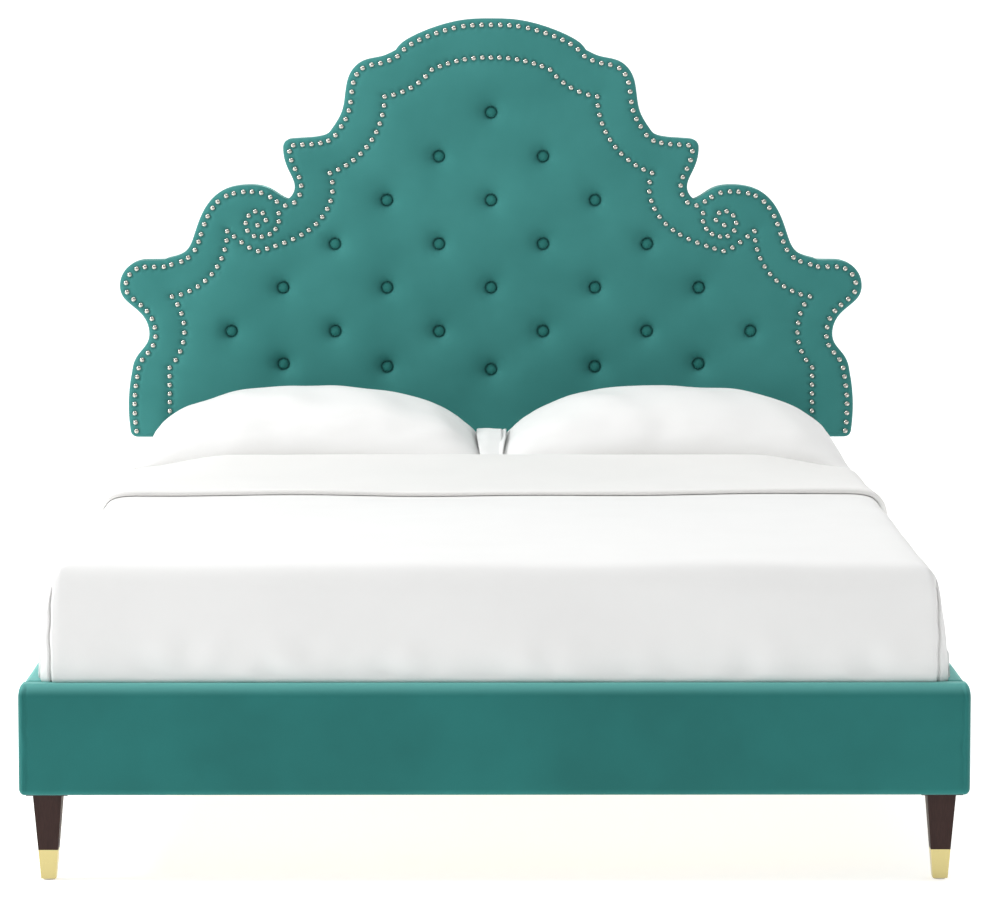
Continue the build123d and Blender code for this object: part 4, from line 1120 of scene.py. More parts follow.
@dataclass
class RailUpholstery:
    """Velvet over batting round one rail, pulled under it and stapled inside."""
    workshop: Workshop
    node: str
    side: Side
    shoulder: float = 26 * MM        # height of the padded top edge's rounding
    shoulder_depth: float = 17 * MM
    belly: float = 12 * MM
    end_ease: float = 10 * MM
    hem: float = 0.7 * MM            # cloth proud of the core's inner face

    def build(self) -> bpy.types.Object:
        """Build and dress the rail's cover."""
        low, high = (np.array(corner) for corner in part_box(self.node))
        face, sign = self.side.value
        along = 1 - face
        if sign > 0:
            low[face] -= self.hem
        else:
            high[face] += self.hem
        low[2] += 0.6 * MM
        is_end = face == 1
        fine = 26 * MM if is_end else 3 * MM
        ticks = [None, None, None]
        ticks[along] = axis_ticks(low[along], high[along], 9 * MM, fine, fine, 2.2 * MM)
        ticks[face] = axis_ticks(low[face], high[face], 5 * MM, 20 * MM if sign < 0 else 3 * MM,
                                 3 * MM if sign < 0 else 20 * MM, 1.8 * MM)
        ticks[2] = axis_ticks(low[2], high[2], 7 * MM, 12 * MM, 32 * MM, 2.4 * MM)
        points, faces = box_lattice(*ticks)
        ease = self.end_ease if is_end else 0.6 * MM
        soft_low, soft_high = [0.0] * 3, [0.0] * 3
        soft_low[along] = soft_high[along] = ease
        soft_low[face], soft_high[face] = ((self.shoulder_depth, 5 * MM) if sign < 0
                                           else (5 * MM, self.shoulder_depth))
        soft_low[2], soft_high[2] = self.belly, self.shoulder
        flat = points.copy()
        points = rounded(points, low, high, soft_low, soft_high)
        outer = low[face] if sign < 0 else high[face]
        near = 1 - np.clip(np.abs(points[:, face] - outer) / (20 * MM), 0, 1)
        middle = (low[2] + high[2]) / 2
        level = np.clip(1 - ((points[:, 2] - middle) / (0.5 * (high[2] - low[2]))) ** 2, 0, 1)
        swell = 1.6 * MM * level ** 0.7 - 1.6 * MM
        stretch = (3.0, 1.0, 1.0) if along == 0 else (1.0, 3.0, 1.0)
        swell += 0.45 * MM * lattice_noise(points, 0.085, 11 + face + sign, stretch=stretch)
        if is_end:
            swell -= self.end_crease(points, flat, high[0])
        points[:, face] += sign * swell * near
        # the rails' darker velvet copy: painted shade, with a painted highlight along the top
        cover = to_object(self.node.replace("_cover", "_velvet"), points, faces, self.workshop["rail_velvet_painted_shade_and_highlight"])
        out_facing(cover)
        set_object(cover, "frame", (self.node,))
        return cover

    @staticmethod
    def end_crease(points: np.ndarray, flat: np.ndarray, reach: float) -> np.ndarray:
        """Groove beside each end, where the velvet is folded round the rail's corner.

        Args:
            points: Places on the rounded cover.
            flat: The same places before rounding.
            reach: X of the rail's end.

        Returns:
            Depth of the groove at each place.
        """
        line = reach - 14 * MM + 1.6 * MM * np.sin(flat[:, 2] / (21 * MM)) - 1.2 * MM * np.sin(flat[:, 2] / (9 * MM))
        away = line - np.abs(flat[:, 0])
        fade = smooth_step(points[:, 2], flat[:, 2].min() + 2 * MM, flat[:, 2].min() + 16 * MM)
        groove = 1.7 * MM * np.exp(-(away / (2.0 * MM)) ** 2) * fade
        lip = -1.1 * MM * np.exp(-((away + 6 * MM) / (4 * MM)) ** 2)
        return groove + lip


@dataclass
class RailSet:
    """The four padded rails and the staples under them."""
    workshop: Workshop
    staple_pitch: float = 55 * MM
    staple_inset: float = 9 * MM

    def build_staples(self) -> bpy.types.Object:
        """Build the staples along the inner edge of every rail's underside."""
        spots, turns = [], []
        for node, side in self.rails().items():
            low, high = (np.array(corner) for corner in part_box(node))
            face, sign = side.value
            along = 1 - face
            inner = high[face] - self.staple_inset if sign < 0 else low[face] + self.staple_inset
            for spot in np.arange(low[along] + 0.14, high[along] - 0.14, self.staple_pitch):
                place = [0.0, 0.0, low[2] + 0.4 * MM]
                place[along], place[face] = spot, inner
                spots.append(place)
                turns.append((0.0, 0.0, 0.0 if along == 0 else math.pi / 2))
        finish = self.workshop["zinc_plated_steel"]
        piece = grow_on_points("rail_staples", StapleTree("rail_staple_tree").build(finish),
                               np.array(spots), finish, {"Width": 11 * MM, "Wire": 1.1 * MM}, np.array(turns))
        return set_object(piece, "frame")

    @staticmethod
    def rails() -> dict[str, Side]:
        """Node of each rail's cover and the way it faces."""
        return {"foot_rail_cover": Side.FOOT, "head_rail_cover": Side.HEAD,
                "side_rail_cover_left": Side.LEFT, "side_rail_cover_right": Side.RIGHT}

    def build(self) -> None:
        """Build and dress every rail."""
        for node, side in self.rails().items():
            RailUpholstery(self.workshop, node, side).build()
        self.build_staples()


# ---------------------------------------------------------------- mattress and bedding

@dataclass
class Bedding:
    """Mattress, fitted sheet, bed cover with tucked sides, and the top sheet turned down over it."""
    workshop: Workshop
    plan_corner: float = 14 * MM
    cover_step: float = 9 * MM
    pleat_depth: float = 11 * MM
    fold_back: float = 110 * MM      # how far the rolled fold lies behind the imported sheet's edge
    side_share: float = 0.84          # how far the cover stands off the sides, as a share of the foot

    def __post_init__(self) -> None:
        """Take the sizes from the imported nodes."""
        low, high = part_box("mattress_ticking")
        self.half, self.foot, self.head = high.x, low.y, high.y
        self.base, self.top = low.z, high.z
        low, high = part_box("bed_cover")
        self.cover_low, self.cover_high = np.array(low), np.array(high)
        self.rail_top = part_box("foot_rail_cover")[1].z
        low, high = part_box("turned_sheet")
        self.fold_y = low.y

    # ---- mattress and fitted sheet

    def build_mattress(self) -> bpy.types.Object:
        """Build the knitted mattress with rounded edges and a quilted pattern pressed into its underside."""
        low = np.array((-self.half, self.foot, self.base + 0.4 * MM))
        high = np.array((self.half, self.head, self.top - 1.0 * MM))
        ticks = [axis_ticks(low[0], high[0], 16 * MM, 70 * MM, 70 * MM, 8 * MM),
                 axis_ticks(low[1], high[1], 16 * MM, 70 * MM, 70 * MM, 8 * MM),
                 axis_ticks(low[2], high[2], 12 * MM, 26 * MM, 26 * MM, 4 * MM)]
        points, faces = box_lattice(*ticks)
        points = rounded(points, low, high, (70 * MM, 70 * MM, 16 * MM), (70 * MM, 70 * MM, 26 * MM))
        under = smooth_step(-points[:, 2], -low[2] - 6 * MM, -low[2])
        quilt = np.sin(math.pi * (points[:, 0] + points[:, 1]) / 0.09) * \
            np.sin(math.pi * (points[:, 0] - points[:, 1]) / 0.09)
        points[:, 2] += under * 2.2 * MM * (1 - np.abs(quilt) ** 0.4)
        piece = to_object("mattress", points, faces, self.workshop["knit_ticking"])
        set_object(piece, "mattress", ("mattress_ticking", "mattress_springs"))
        return piece

    def build_fitted_sheet(self) -> bpy.types.Object:
        """Build the fitted sheet stretched over the mattress, open underneath."""
        low_box, high_box = (np.array(corner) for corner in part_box("fitted_sheet"))
        low = low_box + np.array((0.0, 0.0, 1.5 * MM))
        ticks = [axis_ticks(low[0], high_box[0], 22 * MM, 70 * MM, 70 * MM, 9 * MM),
                 axis_ticks(low[1], high_box[1], 22 * MM, 70 * MM, 70 * MM, 9 * MM),
                 axis_ticks(low[2], high_box[2], 14 * MM, 0, 30 * MM, 5 * MM)]
        points, faces = box_lattice(*ticks, open_sides=("z-",))
        points = rounded(points, low, high_box, (70 * MM, 70 * MM, 0.0), (70 * MM, 70 * MM, 28 * MM))
        side = smooth_step(high_box[2] - points[:, 2], 20 * MM, 60 * MM)
        corner = np.exp(-((self.half - np.abs(points[:, 0])) ** 2 + (self.head - points[:, 1]) ** 2)
                        / (0.24 ** 2))
        wave = lattice_noise(points, 0.07, 31, stretch=(1.0, 1.0, 3.0)) * side
        way = points - np.array((0.0, (self.foot + self.head) / 2, 0.0))
        way = np.column_stack([np.where(np.abs(points[:, 0]) > self.half - 30 * MM, np.sign(way[:, 0]), 0),
                               np.where(np.abs(points[:, 1] - (self.foot + self.head) / 2)
                                        > (self.head - self.foot) / 2 - 30 * MM, np.sign(way[:, 1]), 0)])
        points[:, :2] -= way * (0.5 * MM + (0.6 * MM + 1.6 * MM * corner) * np.abs(wave))[:, None]
        piece = to_object("fitted_sheet_cloth", points, faces, self.workshop["cotton_sheet"])
        set_object(piece, "mattress", ("fitted_sheet",))
        return piece

    # ---- bed cover

    def plan_path(self, head_y: float, step: float) -> tuple[np.ndarray, np.ndarray, np.ndarray]:
        """Path round the mattress from the head end of its left side, past the foot, to the right side.

        Args:
            head_y: Where the path starts and ends.
            step: Distance between its points.

        Returns:
            Points, outward directions, and the distance gone from the middle of the foot.
        """
        r = self.plan_corner
        left, foot = -self.half, self.foot
        spots, ways = [], []
        for y in np.linspace(head_y, foot + r, max(2, round((head_y - foot - r) / step)), endpoint=False):
            spots.append((left, y))
            ways.append((-1.0, 0.0))
        for turn in np.linspace(0, math.pi / 2, 64, endpoint=False):
            way = np.array((-math.cos(turn), -math.sin(turn)))
            spots.append(tuple((left + r, foot + r) + r * way))
            ways.append(tuple(way / np.abs(way).max()))
        half = [(x, foot) for x in np.linspace(left + r, 0, max(2, round((self.half - r) / step)), endpoint=False)]
        spots += half
        ways += [(0.0, -1.0)] * len(half)
        spots, ways = np.array(spots), np.array(ways)
        spots = np.vstack([spots, [(0.0, foot)], spots[::-1] * (-1, 1)])
        ways = np.vstack([ways, [(0.0, -1.0)], ways[::-1] * (-1, 1)])
        gone = np.concatenate([[0], np.cumsum(np.linalg.norm(np.diff(spots, axis=0), axis=1))])
        return spots, ways, gone - gone[-1] / 2

    def fall_profile(self) -> np.ndarray:
        """Cover's section from its top, over the mattress's edge, out over the rail and down into the tuck.

        Returns:
            Distance outside the mattress and height above the floor of 56 samples.
        """
        top, rail = self.cover_high[2] - 1 * MM, self.rail_top
        reach = self.cover_high[0] - self.half
        return curve_through([
            (-58 * MM, top), (-34 * MM, top - 1.5 * MM), (-12 * MM, top - 8 * MM), (2 * MM, top - 24 * MM),
            (9 * MM, top - 46 * MM), (15 * MM, top - 78 * MM), (reach - 9 * MM, top - 118 * MM),
            (reach - 3 * MM, rail + 48 * MM), (reach - 2 * MM, rail + 22 * MM), (reach - 1.5 * MM, rail + 7 * MM),
            (reach - 3 * MM, rail - 0.5 * MM), (reach - 11 * MM, rail - 2.5 * MM), (13.5 * MM, rail - 4 * MM),
            (9.0 * MM, rail - 14 * MM), (8.5 * MM, self.cover_low[2] + 2 * MM)], 56)

    def cover_offset(self, gone: np.ndarray, spot: np.ndarray, profile: np.ndarray) -> np.ndarray:
        """Outward shifts of the cover's fall: soft swells and puckers above the rail.

        Args:
            gone: Distance along the path from the middle of the foot.
            spot: Plan position of each column; not used.
            profile: Section that falls at each column.

        Returns:
            Shift of each vertex, as columns by section samples.
        """
        drop = self.cover_high[2] - profile[:, 1]
        total = drop[-1]
        outer = smooth_step(drop, 20 * MM, 60 * MM) * (1 - smooth_step(drop, total - 66 * MM, total - 40 * MM))
        grid = np.column_stack([np.repeat(gone, len(profile)), np.tile(profile[:, 1], len(gone)),
                                np.zeros(len(gone) * len(profile))])
        swell = lattice_noise(grid, 0.34, 41, stretch=(1.6, 0.8, 1.0)).reshape(len(gone), -1) * 2.6 * MM
        pucker = lattice_noise(grid, 0.055, 43, stretch=(1.0, 1.7, 1.0)).reshape(len(gone), -1)
        low = smooth_step(drop, total - 140 * MM, total - 70 * MM) * (1 - smooth_step(drop, total - 58 * MM,
                                                                                     total - 44 * MM))
        shift = swell * outer + (pucker - 0.3) * 2.4 * MM * low
        return shift

    def corner_fold(self, grid: np.ndarray) -> np.ndarray:
        """Set back the cover's spare cloth at its two foot corners, where it is folded along the side.

        The foot end stays flat up to a thin crease, and the folded part bulges outside it.

        Args:
            grid: Places on the fall, as columns by section samples.

        Returns:
            How far each place moves back towards the head.
        """
        drop = self.cover_high[2] - grid[..., 2]
        total = drop.max()
        line = self.half + 2 * MM + 3 * MM * np.sin(math.pi * drop / total) ** 2 + 0.8 * MM * np.sin(drop / (9 * MM))
        away = np.abs(grid[..., 0]) - line
        crease = self.pleat_depth * np.exp(-(away / (2.1 * MM)) ** 2)
        past = np.maximum(away, 0)
        behind = 2.0 * MM * smooth_step(away, 0.0, 4 * MM) + past ** 2 / (26 * MM)
        front = smooth_step(-grid[..., 1], -(self.foot + 26 * MM), -(self.foot + 2 * MM))
        hung = smooth_step(drop, 8 * MM, 30 * MM)
        return (crease + behind) * front * hung

    def build_cover(self) -> bpy.types.Object:
        """Build the bed cover: a padded shell over the top, down three sides and into the tuck."""
        spots, ways, gone = self.plan_path(self.cover_high[1], self.cover_step)
        section = self.fall_profile()
        first = int(np.argmax(section[:, 0] > -9 * MM))
        profile = section[first:]
        offset = profile[None, :, 0] + self.cover_offset(gone, spots, profile)
        level = np.broadcast_to(profile[None, :, 1], offset.shape).copy()
        aside = np.where(offset > 0, self.side_share, 1.0) * offset
        grid = np.stack([spots[:, None, 0] + ways[:, None, 0] * aside,
                         spots[:, None, 1] + ways[:, None, 1] * offset, level], axis=2)
        grid[..., 1] += self.corner_fold(grid)
        columns, samples = offset.shape
        fall = grid.reshape(-1, 3)
        faces = [(a, b, c, d) for a, b, c, d in grid_faces(columns, samples)]
        # the flat top is filled in from the first samples of every column
        rim = grid[:, 0, :2]
        inner = []
        low, high = rim.min(axis=0), rim.max(axis=0)
        for inset in (6, 13, 21, 30, 40, 52):
            inner += [(side * (high[0] - inset * MM), y) for side in (-1, 1)
                      for y in np.arange(low[1] + inset * MM, high[1] - 4 * MM, 11 * MM)]
            inner += [(x, low[1] + inset * MM)
                      for x in np.arange(low[0] + (inset + 7) * MM, high[0] - (inset + 4) * MM, 11 * MM)]
        for x in np.arange(low[0] + 64 * MM, high[0] - 60 * MM, 13 * MM):
            inner += [(x, y) for y in np.arange(low[1] + 64 * MM, high[1] - 8 * MM, 13 * MM)]
        head_row = [(x, high[1]) for x in np.arange(low[0] + 12 * MM, high[0] - 10 * MM, 13 * MM)]
        plan = np.vstack([rim, head_row[::-1], inner])
        border = len(rim) + len(head_row)
        edges = [(i, (i + 1) % border) for i in range(border)]
        flat, _, tris, origin, _, _ = delaunay_2d_cdt([Vector(p) for p in plan], edges, [], 1, 1e-7)
        inside = [max(0.0, min(self.half - abs(p[0]), p[1] - self.foot)) for p in flat]
        heights = np.interp(-np.array(inside), section[:first + 4, 0], section[:first + 4, 1])
        top = [Vector((p[0], p[1], z)) for p, z in zip(flat, heights)]
        number, extra = {}, []
        for i, source in enumerate(origin):
            rim_source = [s for s in source if s < len(rim)]
            if rim_source:
                number[i] = rim_source[0] * samples
            else:
                number[i] = len(fall) + len(extra)
                extra.append(tuple(top[i]))
        faces += [tuple(number[i] for i in t) for t in tris]
        points = np.vstack([fall, np.array(extra)])
        points[:, 2] += self.top_swell(points)
        piece = to_object("bed_cover_cloth", points, faces, self.workshop["cotton_cover"])
        out_facing(piece)
        if piece.data.polygons[-1].normal.z < 0:
            piece.data.flip_normals()
        wall = piece.modifiers.new("loft", "SOLIDIFY")
        wall.thickness, wall.offset = 3.0 * MM, -1.0
        set_object(piece, "mattress", ("bed_cover",))
        return piece

    def top_swell(self, points: np.ndarray) -> np.ndarray:
        """Soft unevenness of the bedding's top.

        Args:
            points: Places on the cover.

        Returns:
            Height to add to each.
        """
        flat = np.column_stack([points[:, :2], np.zeros(len(points))])
        on_top = smooth_step(points[:, 2], self.cover_high[2] - 60 * MM, self.cover_high[2] - 10 * MM)
        return on_top * (2.2 * MM * lattice_noise(flat, 0.42, 51) - 1.5 * MM)

    # ---- top sheet

    def build_turned_sheet(self) -> bpy.types.Object:
        """Build the top sheet's turned-down end, with a soft rolled fold across the bed."""
        profile = self.fall_profile()
        drop = self.cover_high[2] - 62 * MM
        fall = profile[profile[:, 1] > drop][::-1]
        left = np.column_stack([-(self.half + fall[:, 0]), fall[:, 1]])
        across = np.arange(left[-1, 0] + 12 * MM, -left[-1, 0] - 6 * MM, 12 * MM)
        flat = np.column_stack([across, np.full(len(across), fall[-1, 1])])
        section = np.vstack([left, flat, (left * (-1, 1))[::-1]])
        tangent = np.gradient(section, axis=0)
        tangent /= np.linalg.norm(tangent, axis=1, keepdims=True)
        normal = np.column_stack([-tangent[:, 1], tangent[:, 0]])
        roll = 6.5 * MM
        front, back = self.fold_y + roll + self.fold_back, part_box("pillow_left")[0].y + 70 * MM
        lay = [(y, 2.6 * MM + 7.5 * MM * math.exp(-(y - front) / 0.16)) for y in
               np.concatenate([np.linspace(back, front + 0.1, 44), np.linspace(front + 0.095, front, 16)])]
        start = lay[-1][1]
        rounds = [(front - roll * 1.1 * math.sin(t), start - (1 - math.cos(t)) * (start - 0.8 * MM) / 2)
                  for t in np.linspace(0, math.pi, 14)[1:]]
        under = [(front + y, 0.8 * MM) for y in np.linspace(6 * MM, 60 * MM, 8)]
        lay = np.array(lay + rounds + under)
        gone = np.concatenate([[0], np.cumsum(np.linalg.norm(np.diff(section, axis=0), axis=1))])
        gone -= gone[-1] / 2
        side = np.clip((np.abs(section[:, 0]) - (self.half - 30 * MM)) / (40 * MM), 0, None)
        fallen = np.clip((self.cover_high[2] - 1 * MM - section[:, 1]) / (60 * MM), 0, 1)
        wave = lattice_noise(np.column_stack([gone, 0 * gone, 0 * gone]), 0.55, 61) * 5 * MM
        pull = wave + 34 * MM * fallen ** 1.4
        place = np.empty((len(section), len(lay), 3))
        ahead = smooth_step(-lay[:, 0], -(front + 0.25), -front)
        place[:, :, 1] = lay[None, :, 0] + pull[:, None] * ahead[None]
        rise = lay[None, :, 1] + 0 * side[:, None]
        grid = np.column_stack([np.repeat(gone, len(lay)), np.tile(lay[:, 0], len(gone)),
                                np.zeros(len(gone) * len(lay))])
        ripple = lattice_noise(grid, 0.19, 63, stretch=(2.4, 0.8, 1.0)).reshape(len(gone), -1)
        rise = rise + 1.1 * MM * (ripple + 0.6) * smooth_step(rise, 1.5 * MM, 6 * MM)
        place[:, :, 0] = section[:, None, 0] + normal[:, None, 0] * rise
        place[:, :, 2] = section[:, None, 1] + normal[:, None, 1] * rise
        pillow_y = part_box("pillow_left")[0].y
        bank = curve_through([(-0.6, 0.0), (-0.45, 0.0), (-0.30, 3 * MM), (-0.15, 13 * MM), (-0.06, 25 * MM),
                              (-0.008, 31 * MM), (0.012, 25 * MM), (0.026, 12 * MM), (0.04, 6 * MM),
                              (0.06, -0.5 * MM), (0.08, -3.5 * MM), (0.12, -4 * MM)], 160)
        banked = np.interp(lay[:, 0] - pillow_y, bank[:, 0], bank[:, 1])
        on_top = 1 - smooth_step(np.abs(section[:, 0]), self.half - 230 * MM, self.half - 20 * MM)
        place[:, :, 2] += banked[None] * np.where(banked[None] > 0, 0.12 + 0.88 * on_top[:, None], 1.0)
        points = place.reshape(-1, 3)
        under_pillows = smooth_step(points[:, 1], pillow_y - 0.1, pillow_y)
        points[:, 2] += self.top_swell(points) * (1 - under_pillows)
        faces = grid_faces(len(section), len(lay))
        piece = to_object("turned_top_sheet", points, faces, self.workshop["cotton_sheet"])
        if piece.data.polygons[(len(lay) - 1) * (len(section) // 2) + len(lay) // 3].normal.z < 0:
            piece.data.flip_normals()
        set_object(piece, "mattress", ("turned_sheet",))
        return piece

    def build(self) -> None:
        """Build and dress the mattress and its bedding."""
        self.build_mattress()
        self.build_fitted_sheet()
        self.build_cover()
        self.build_turned_sheet()


@dataclass
class Pillow:
    """Fibre-filled pillow in a cotton case: two panels sewn at the rim, with a hemmed open end."""
    workshop: Workshop
    hand: str
    seed: int
    hem_reach: float
    hem_lift: float
    columns: int = 92
    rows: int = 58
    seam_height: float = 36 * MM
    hem_width: float = 34 * MM

    def __post_init__(self) -> None:
        """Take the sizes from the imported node."""
        low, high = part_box("pillow_" + self.hand)
        self.low, self.high = np.array(low), np.array(high)
        self.sign = 1.0 if self.low[0] > -0.1 else -1.0

    def shape(self, u: np.ndarray, v: np.ndarray, upper: bool) -> np.ndarray:
        """Places on one panel of the pillow.

        Args:
            u: Share of the way from the middle to the outer end, from -1 to 1.
            v: Share of the way from the middle to the head end, from -1 to 1.
            upper: Whether it is the upper panel.

        Returns:
            The places, one row each.
        """
        half_x = (self.high[0] - self.low[0]) / 2 - 4 * MM
        half_y = (self.high[1] - self.low[1]) / 2 - 4 * MM
        rest = self.low[2] + 3.4 * MM
        fill = (1 - np.abs(u) ** 2.5) ** 0.56 * (1 - np.abs(v) ** 2.3) ** 0.5
        fill = np.clip(fill, 0, 1)
        corner = (np.abs(u) * np.abs(v)) ** 3
        seam = rest + self.seam_height * (1 - corner) * (0.35 + 0.65 * (1 - u ** 6)) + 4 * MM
        bottom = rest + (seam - rest) * (1 - fill) ** 1.5
        tall = self.high[2] - rest + 6 * MM
        x = u * half_x * (1 - 0.028 * (1 - v ** 2))
        y = v * half_y * (1 - 0.05 * (1 - u ** 2))
        z = bottom + (tall * fill if upper else 0.0)
        places = np.column_stack([x, y, z])
        folds = lattice_noise(places, 0.13, self.seed, stretch=(1.0, 1.3, 1.0))
        creases = lattice_noise(places, 0.05, self.seed + 1, stretch=(1.7, 1.0, 1.0))
        rim = np.maximum(np.abs(u), np.abs(v))
        amount = 2.2 * MM * folds + 1.3 * MM * creases * smooth_step(rim, 0.55, 0.92)
        places[:, 2] += amount * np.minimum(1, 3 * fill) * (1.0 if upper else 0.25)
        places[:, 0] = self.sign * places[:, 0] + (self.low[0] + self.high[0]) / 2
        places[:, 1] += (self.low[1] + self.high[1]) / 2
        return places

    def build_body(self) -> bpy.types.Object:
        """Build the filled case from its two panels and let it settle under its own fill."""
        ease = lambda t: np.sin(t * math.pi / 2) * 0.35 + t * 0.65
        u = ease(np.linspace(-1, 1, self.columns))
        v = ease(np.linspace(-1, 1, self.rows))
        uu, vv = (g.ravel() for g in np.meshgrid(u, v, indexing="ij"))
        upper, lower = self.shape(uu, vv, True), self.shape(uu, vv, False)
        faces = grid_faces(self.columns, self.rows)
        faces += [f[::-1] for f in grid_faces(self.columns, self.rows, len(upper))]
        piece = to_object("pillow_case_" + self.hand, np.vstack([upper, lower]), faces,
                          self.workshop["cotton_case"])
        out_facing(piece, weld=0.05 * MM)
        rest = self.low[2] + 3.4 * MM
        ClothPass(frames=16, pressure=2.0, cap=9 * MM).run(
            piece, lambda p: 1 - smooth_step(p[:, 2], rest + 2 * MM, rest + 30 * MM))
        smooth = piece.modifiers.new("smooth", "SUBSURF")
        smooth.levels = smooth.render_levels = 1
        set_object(piece, "pillow_" + self.hand, ("pillow_" + self.hand,))
        return piece

    def build_hem(self) -> bpy.types.Object:
        """Build the hemmed open end of the case, a flat flap that leaves the pillow's inner end."""
        v = np.linspace(-0.93, 0.93, 64)
        out = np.linspace(0, 1, 16)
        start = self.shape(np.full(64, -0.955), v, True)
        end_x = self.sign * -self.hem_reach
        layers = []
        for half, lift in ((1, 5 * MM), (-1, 0.0)):
            rows = []
            for t in out:
                x = start[:, 0] * (1 - t) + end_x * t
                wave = lattice_noise(np.column_stack([v, 0 * v + t * 0.2, 0 * v]), 0.9, self.seed + 5)
                level = (self.low[2] + 10 * MM + self.hem_lift + lift
                         + 5 * MM * wave * t + 46 * MM * (1 - np.abs(v) ** 2) * (1 - 0.3 * t))
                drop = smooth_step(np.array([t]), 0.0, 0.55)[0]
                z = start[:, 2] * (1 - drop) + level * drop
                y = start[:, 1] + 7 * MM * wave * t
                rows.append(np.column_stack([x, y, np.maximum(z, self.low[2] + 4 * MM)]))
            layers.append(np.stack(rows, axis=1).reshape(-1, 3))
        faces = grid_faces(64, 16) + [f[::-1] for f in grid_faces(64, 16, len(layers[0]))]
        count = 64 * 16
        for edge in ([0 * 16 + c for c in range(16)], [63 * 16 + c for c in range(16)]):
            faces += [(edge[i], edge[i + 1], count + edge[i + 1], count + edge[i]) for i in range(15)]
        piece = to_object("pillow_hem_" + self.hand, np.vstack(layers), faces, self.workshop["cotton_case"])
        out_facing(piece, weld=0.05 * MM)
        wall = piece.modifiers.new("cloth", "SOLIDIFY")
        wall.thickness, wall.offset = 0.9 * MM, 0.0
        set_object(piece, "pillow_" + self.hand)
        return piece

    def build(self) -> None:
        """Build and dress the pillow."""
        self.build_body()
        self.build_hem()


# ---------------------------------------------------------------- timber, metal and the rest

@dataclass
class Carcass:
    """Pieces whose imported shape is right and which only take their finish."""
    workshop: Workshop

    def finishes(self) -> dict[str, str]:
        """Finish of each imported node."""
        nodes = {
            "headboard_board": "plywood_face", "headboard_dust_cloth": "spunbond_cloth",
            "button_twines": "cotton_twine", "strut_screws": "zinc_plated_steel",
            "clamp_bolts": "zinc_plated_steel", "clamp_washers": "zinc_plated_steel",
            "clamp_nuts": "zinc_plated_steel", "frame_bolts": "zinc_plated_steel",
            "leg_hanger_bolts": "zinc_plated_steel", "ledge_screws": "zinc_plated_steel",
            "slat_screws": "zinc_plated_steel", "slats": "birch_slat", "centre_beam": "pine_along_y",
            "leg_ferrules": "satin_brass", "leg_glides": "moulded_nylon",
            "support_leg_inserts": "black_plastic", "support_leg_1": "powder_coated_steel",
            "levelling_foot_1": "black_plastic",
            "foot_rail_core": "pine_along_x", "head_rail_core": "pine_along_x",
        }
        for hand in ("left", "right"):
            nodes["strut_" + hand] = "stained_strut"
            nodes["side_rail_core_" + hand] = "pine_along_y"
            nodes["slat_ledge_" + hand] = "pine_along_y"
            nodes["slat_tape_" + hand] = "webbing_tape"
            for place in ("foot", "head"):
                nodes[f"corner_bracket_{place}_{hand}"] = "powder_coated_steel"
                nodes[f"leg_{place}_{hand}"] = "stained_rubberwood"
                nodes["beam_hanger_" + place] = "powder_coated_steel"
        return nodes

    def build(self) -> None:
        """Give every carried-over node its finish."""
        for node, finish in self.finishes().items():
            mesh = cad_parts[node].data
            if mesh.materials:
                for i in range(len(mesh.materials)):
                    mesh.materials[i] = self.workshop[finish]
            else:
                mesh.materials.append(self.workshop[finish])
        log.info("carcass: %d nodes dressed", len(self.finishes()))


# ---------------------------------------------------------------- studio

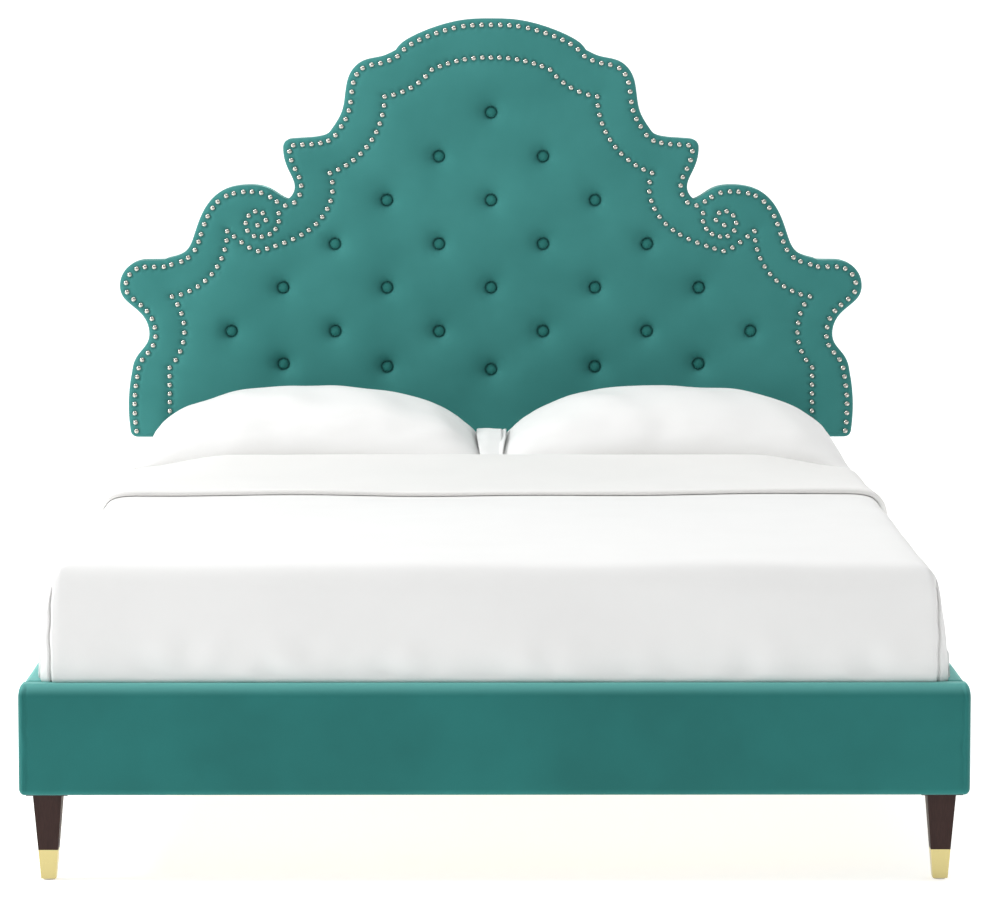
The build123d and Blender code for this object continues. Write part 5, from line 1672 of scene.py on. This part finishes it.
@dataclass(frozen=True)
class Studio:
    """Pale floor, soft light from the upper left, and the camera."""
    camera_place: tuple[float, float, float] = (-0.029, -8.70, 1.50)
    pitch: float = 5.61
    yaw: float = 0.223
    lens: float = 162.6
    floor_glow: float = 0.62

    def build(self) -> None:
        """Build the floor, the lights and the camera."""
        material, tree, shade = shader("pale_floor", Roughness=0.9)
        place = object_place(tree, (1.0, 1.0, 1.0))
        cloud = add_node(tree, "ShaderNodeTexNoise", {"Vector": place, "Scale": 1.2})
        tint = add_node(tree, "ShaderNodeMix", {0: cloud.outputs[0], 6: linear("fbfbfb"), 7: linear("f9f9f9")},
                        data_type="RGBA")
        tree.links.new(tint.outputs[2], shade.inputs["Base Color"])
        shade.inputs["Emission Color"].default_value = (1.0, 1.0, 1.0, 1.0)
        shade.inputs["Emission Strength"].default_value = self.floor_glow
        # the floor runs on behind the bed and sweeps up into a backdrop
        turn = np.linspace(0, math.pi / 2, 16)
        section = np.vstack([[(-30.0, 0.0)], np.column_stack([9.0 + 4 * np.sin(turn), 4 - 4 * np.cos(turn)]),
                             [(13.0, 16.0)]])
        wide = np.array((-30.0, 30.0))
        sweep = np.array([(x, y, z) for y, z in section for x in wide])
        floor = to_object("studio_floor", sweep, grid_faces(len(section), 2), material)
        floor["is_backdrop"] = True
        world = bpy.data.worlds.new("studio_light")
        world.use_nodes = True
        world.node_tree.nodes["Background"].inputs[0].default_value = (1.0, 1.0, 1.0, 1.0)
        world.node_tree.nodes["Background"].inputs[1].default_value = 0.4
        bpy.context.scene.world = world
        self.lamp("key", (-4.6, -1.1, 3.5), (0.2, 1.0, 1.0), 1.4, 158.0)
        self.lamp("overhead", (0.0, -0.2, 5.2), (0.0, -0.2, 0.5), 4.0, 97.0)
        bpy.context.scene.view_settings.view_transform = "Standard"
        data = bpy.data.cameras.new("camera")
        data.lens, data.sensor_width, data.clip_end = self.lens, 36.0, 200.0
        camera = bpy.data.objects.new("camera", data)
        camera.location = self.camera_place
        camera.rotation_euler = (math.radians(90 - self.pitch), 0.0, math.radians(-self.yaw))
        bpy.context.scene.collection.objects.link(camera)
        bpy.context.scene.camera = camera

    @staticmethod
    def lamp(name: str, place: tuple[float, float, float], aim: tuple[float, float, float], size: float,
             power: float) -> None:
        """Add a square soft box.

        Args:
            name: Name of the lamp.
            place: Where it stands.
            aim: Point it looks at.
            size: Side of the square.
            power: Power in watts.
        """
        data = bpy.data.lights.new(name, "AREA")
        data.size, data.energy = size, power
        made = bpy.data.objects.new(name, data)
        made.location = place
        made.rotation_euler = (Vector(aim) - Vector(place)).to_track_quat("-Z", "Y").to_euler()
        bpy.context.scene.collection.objects.link(made)


def main() -> None:
    """Build the bed in order and report each piece."""
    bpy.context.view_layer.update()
    logging.basicConfig(level=logging.INFO, format="%(name)s: %(message)s")
    workshop = Workshop()
    Carcass(workshop).build()
    HeadboardUpholstery(workshop).build()
    RailSet(workshop).build()
    Bedding(workshop).build()
    Pillow(workshop, "left", 71, hem_reach=22 * MM, hem_lift=14 * MM).build()
    Pillow(workshop, "right", 81, hem_reach=22 * MM, hem_lift=-4 * MM).build()
    Studio().build()
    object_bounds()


if __name__ == "__main__":
    main()
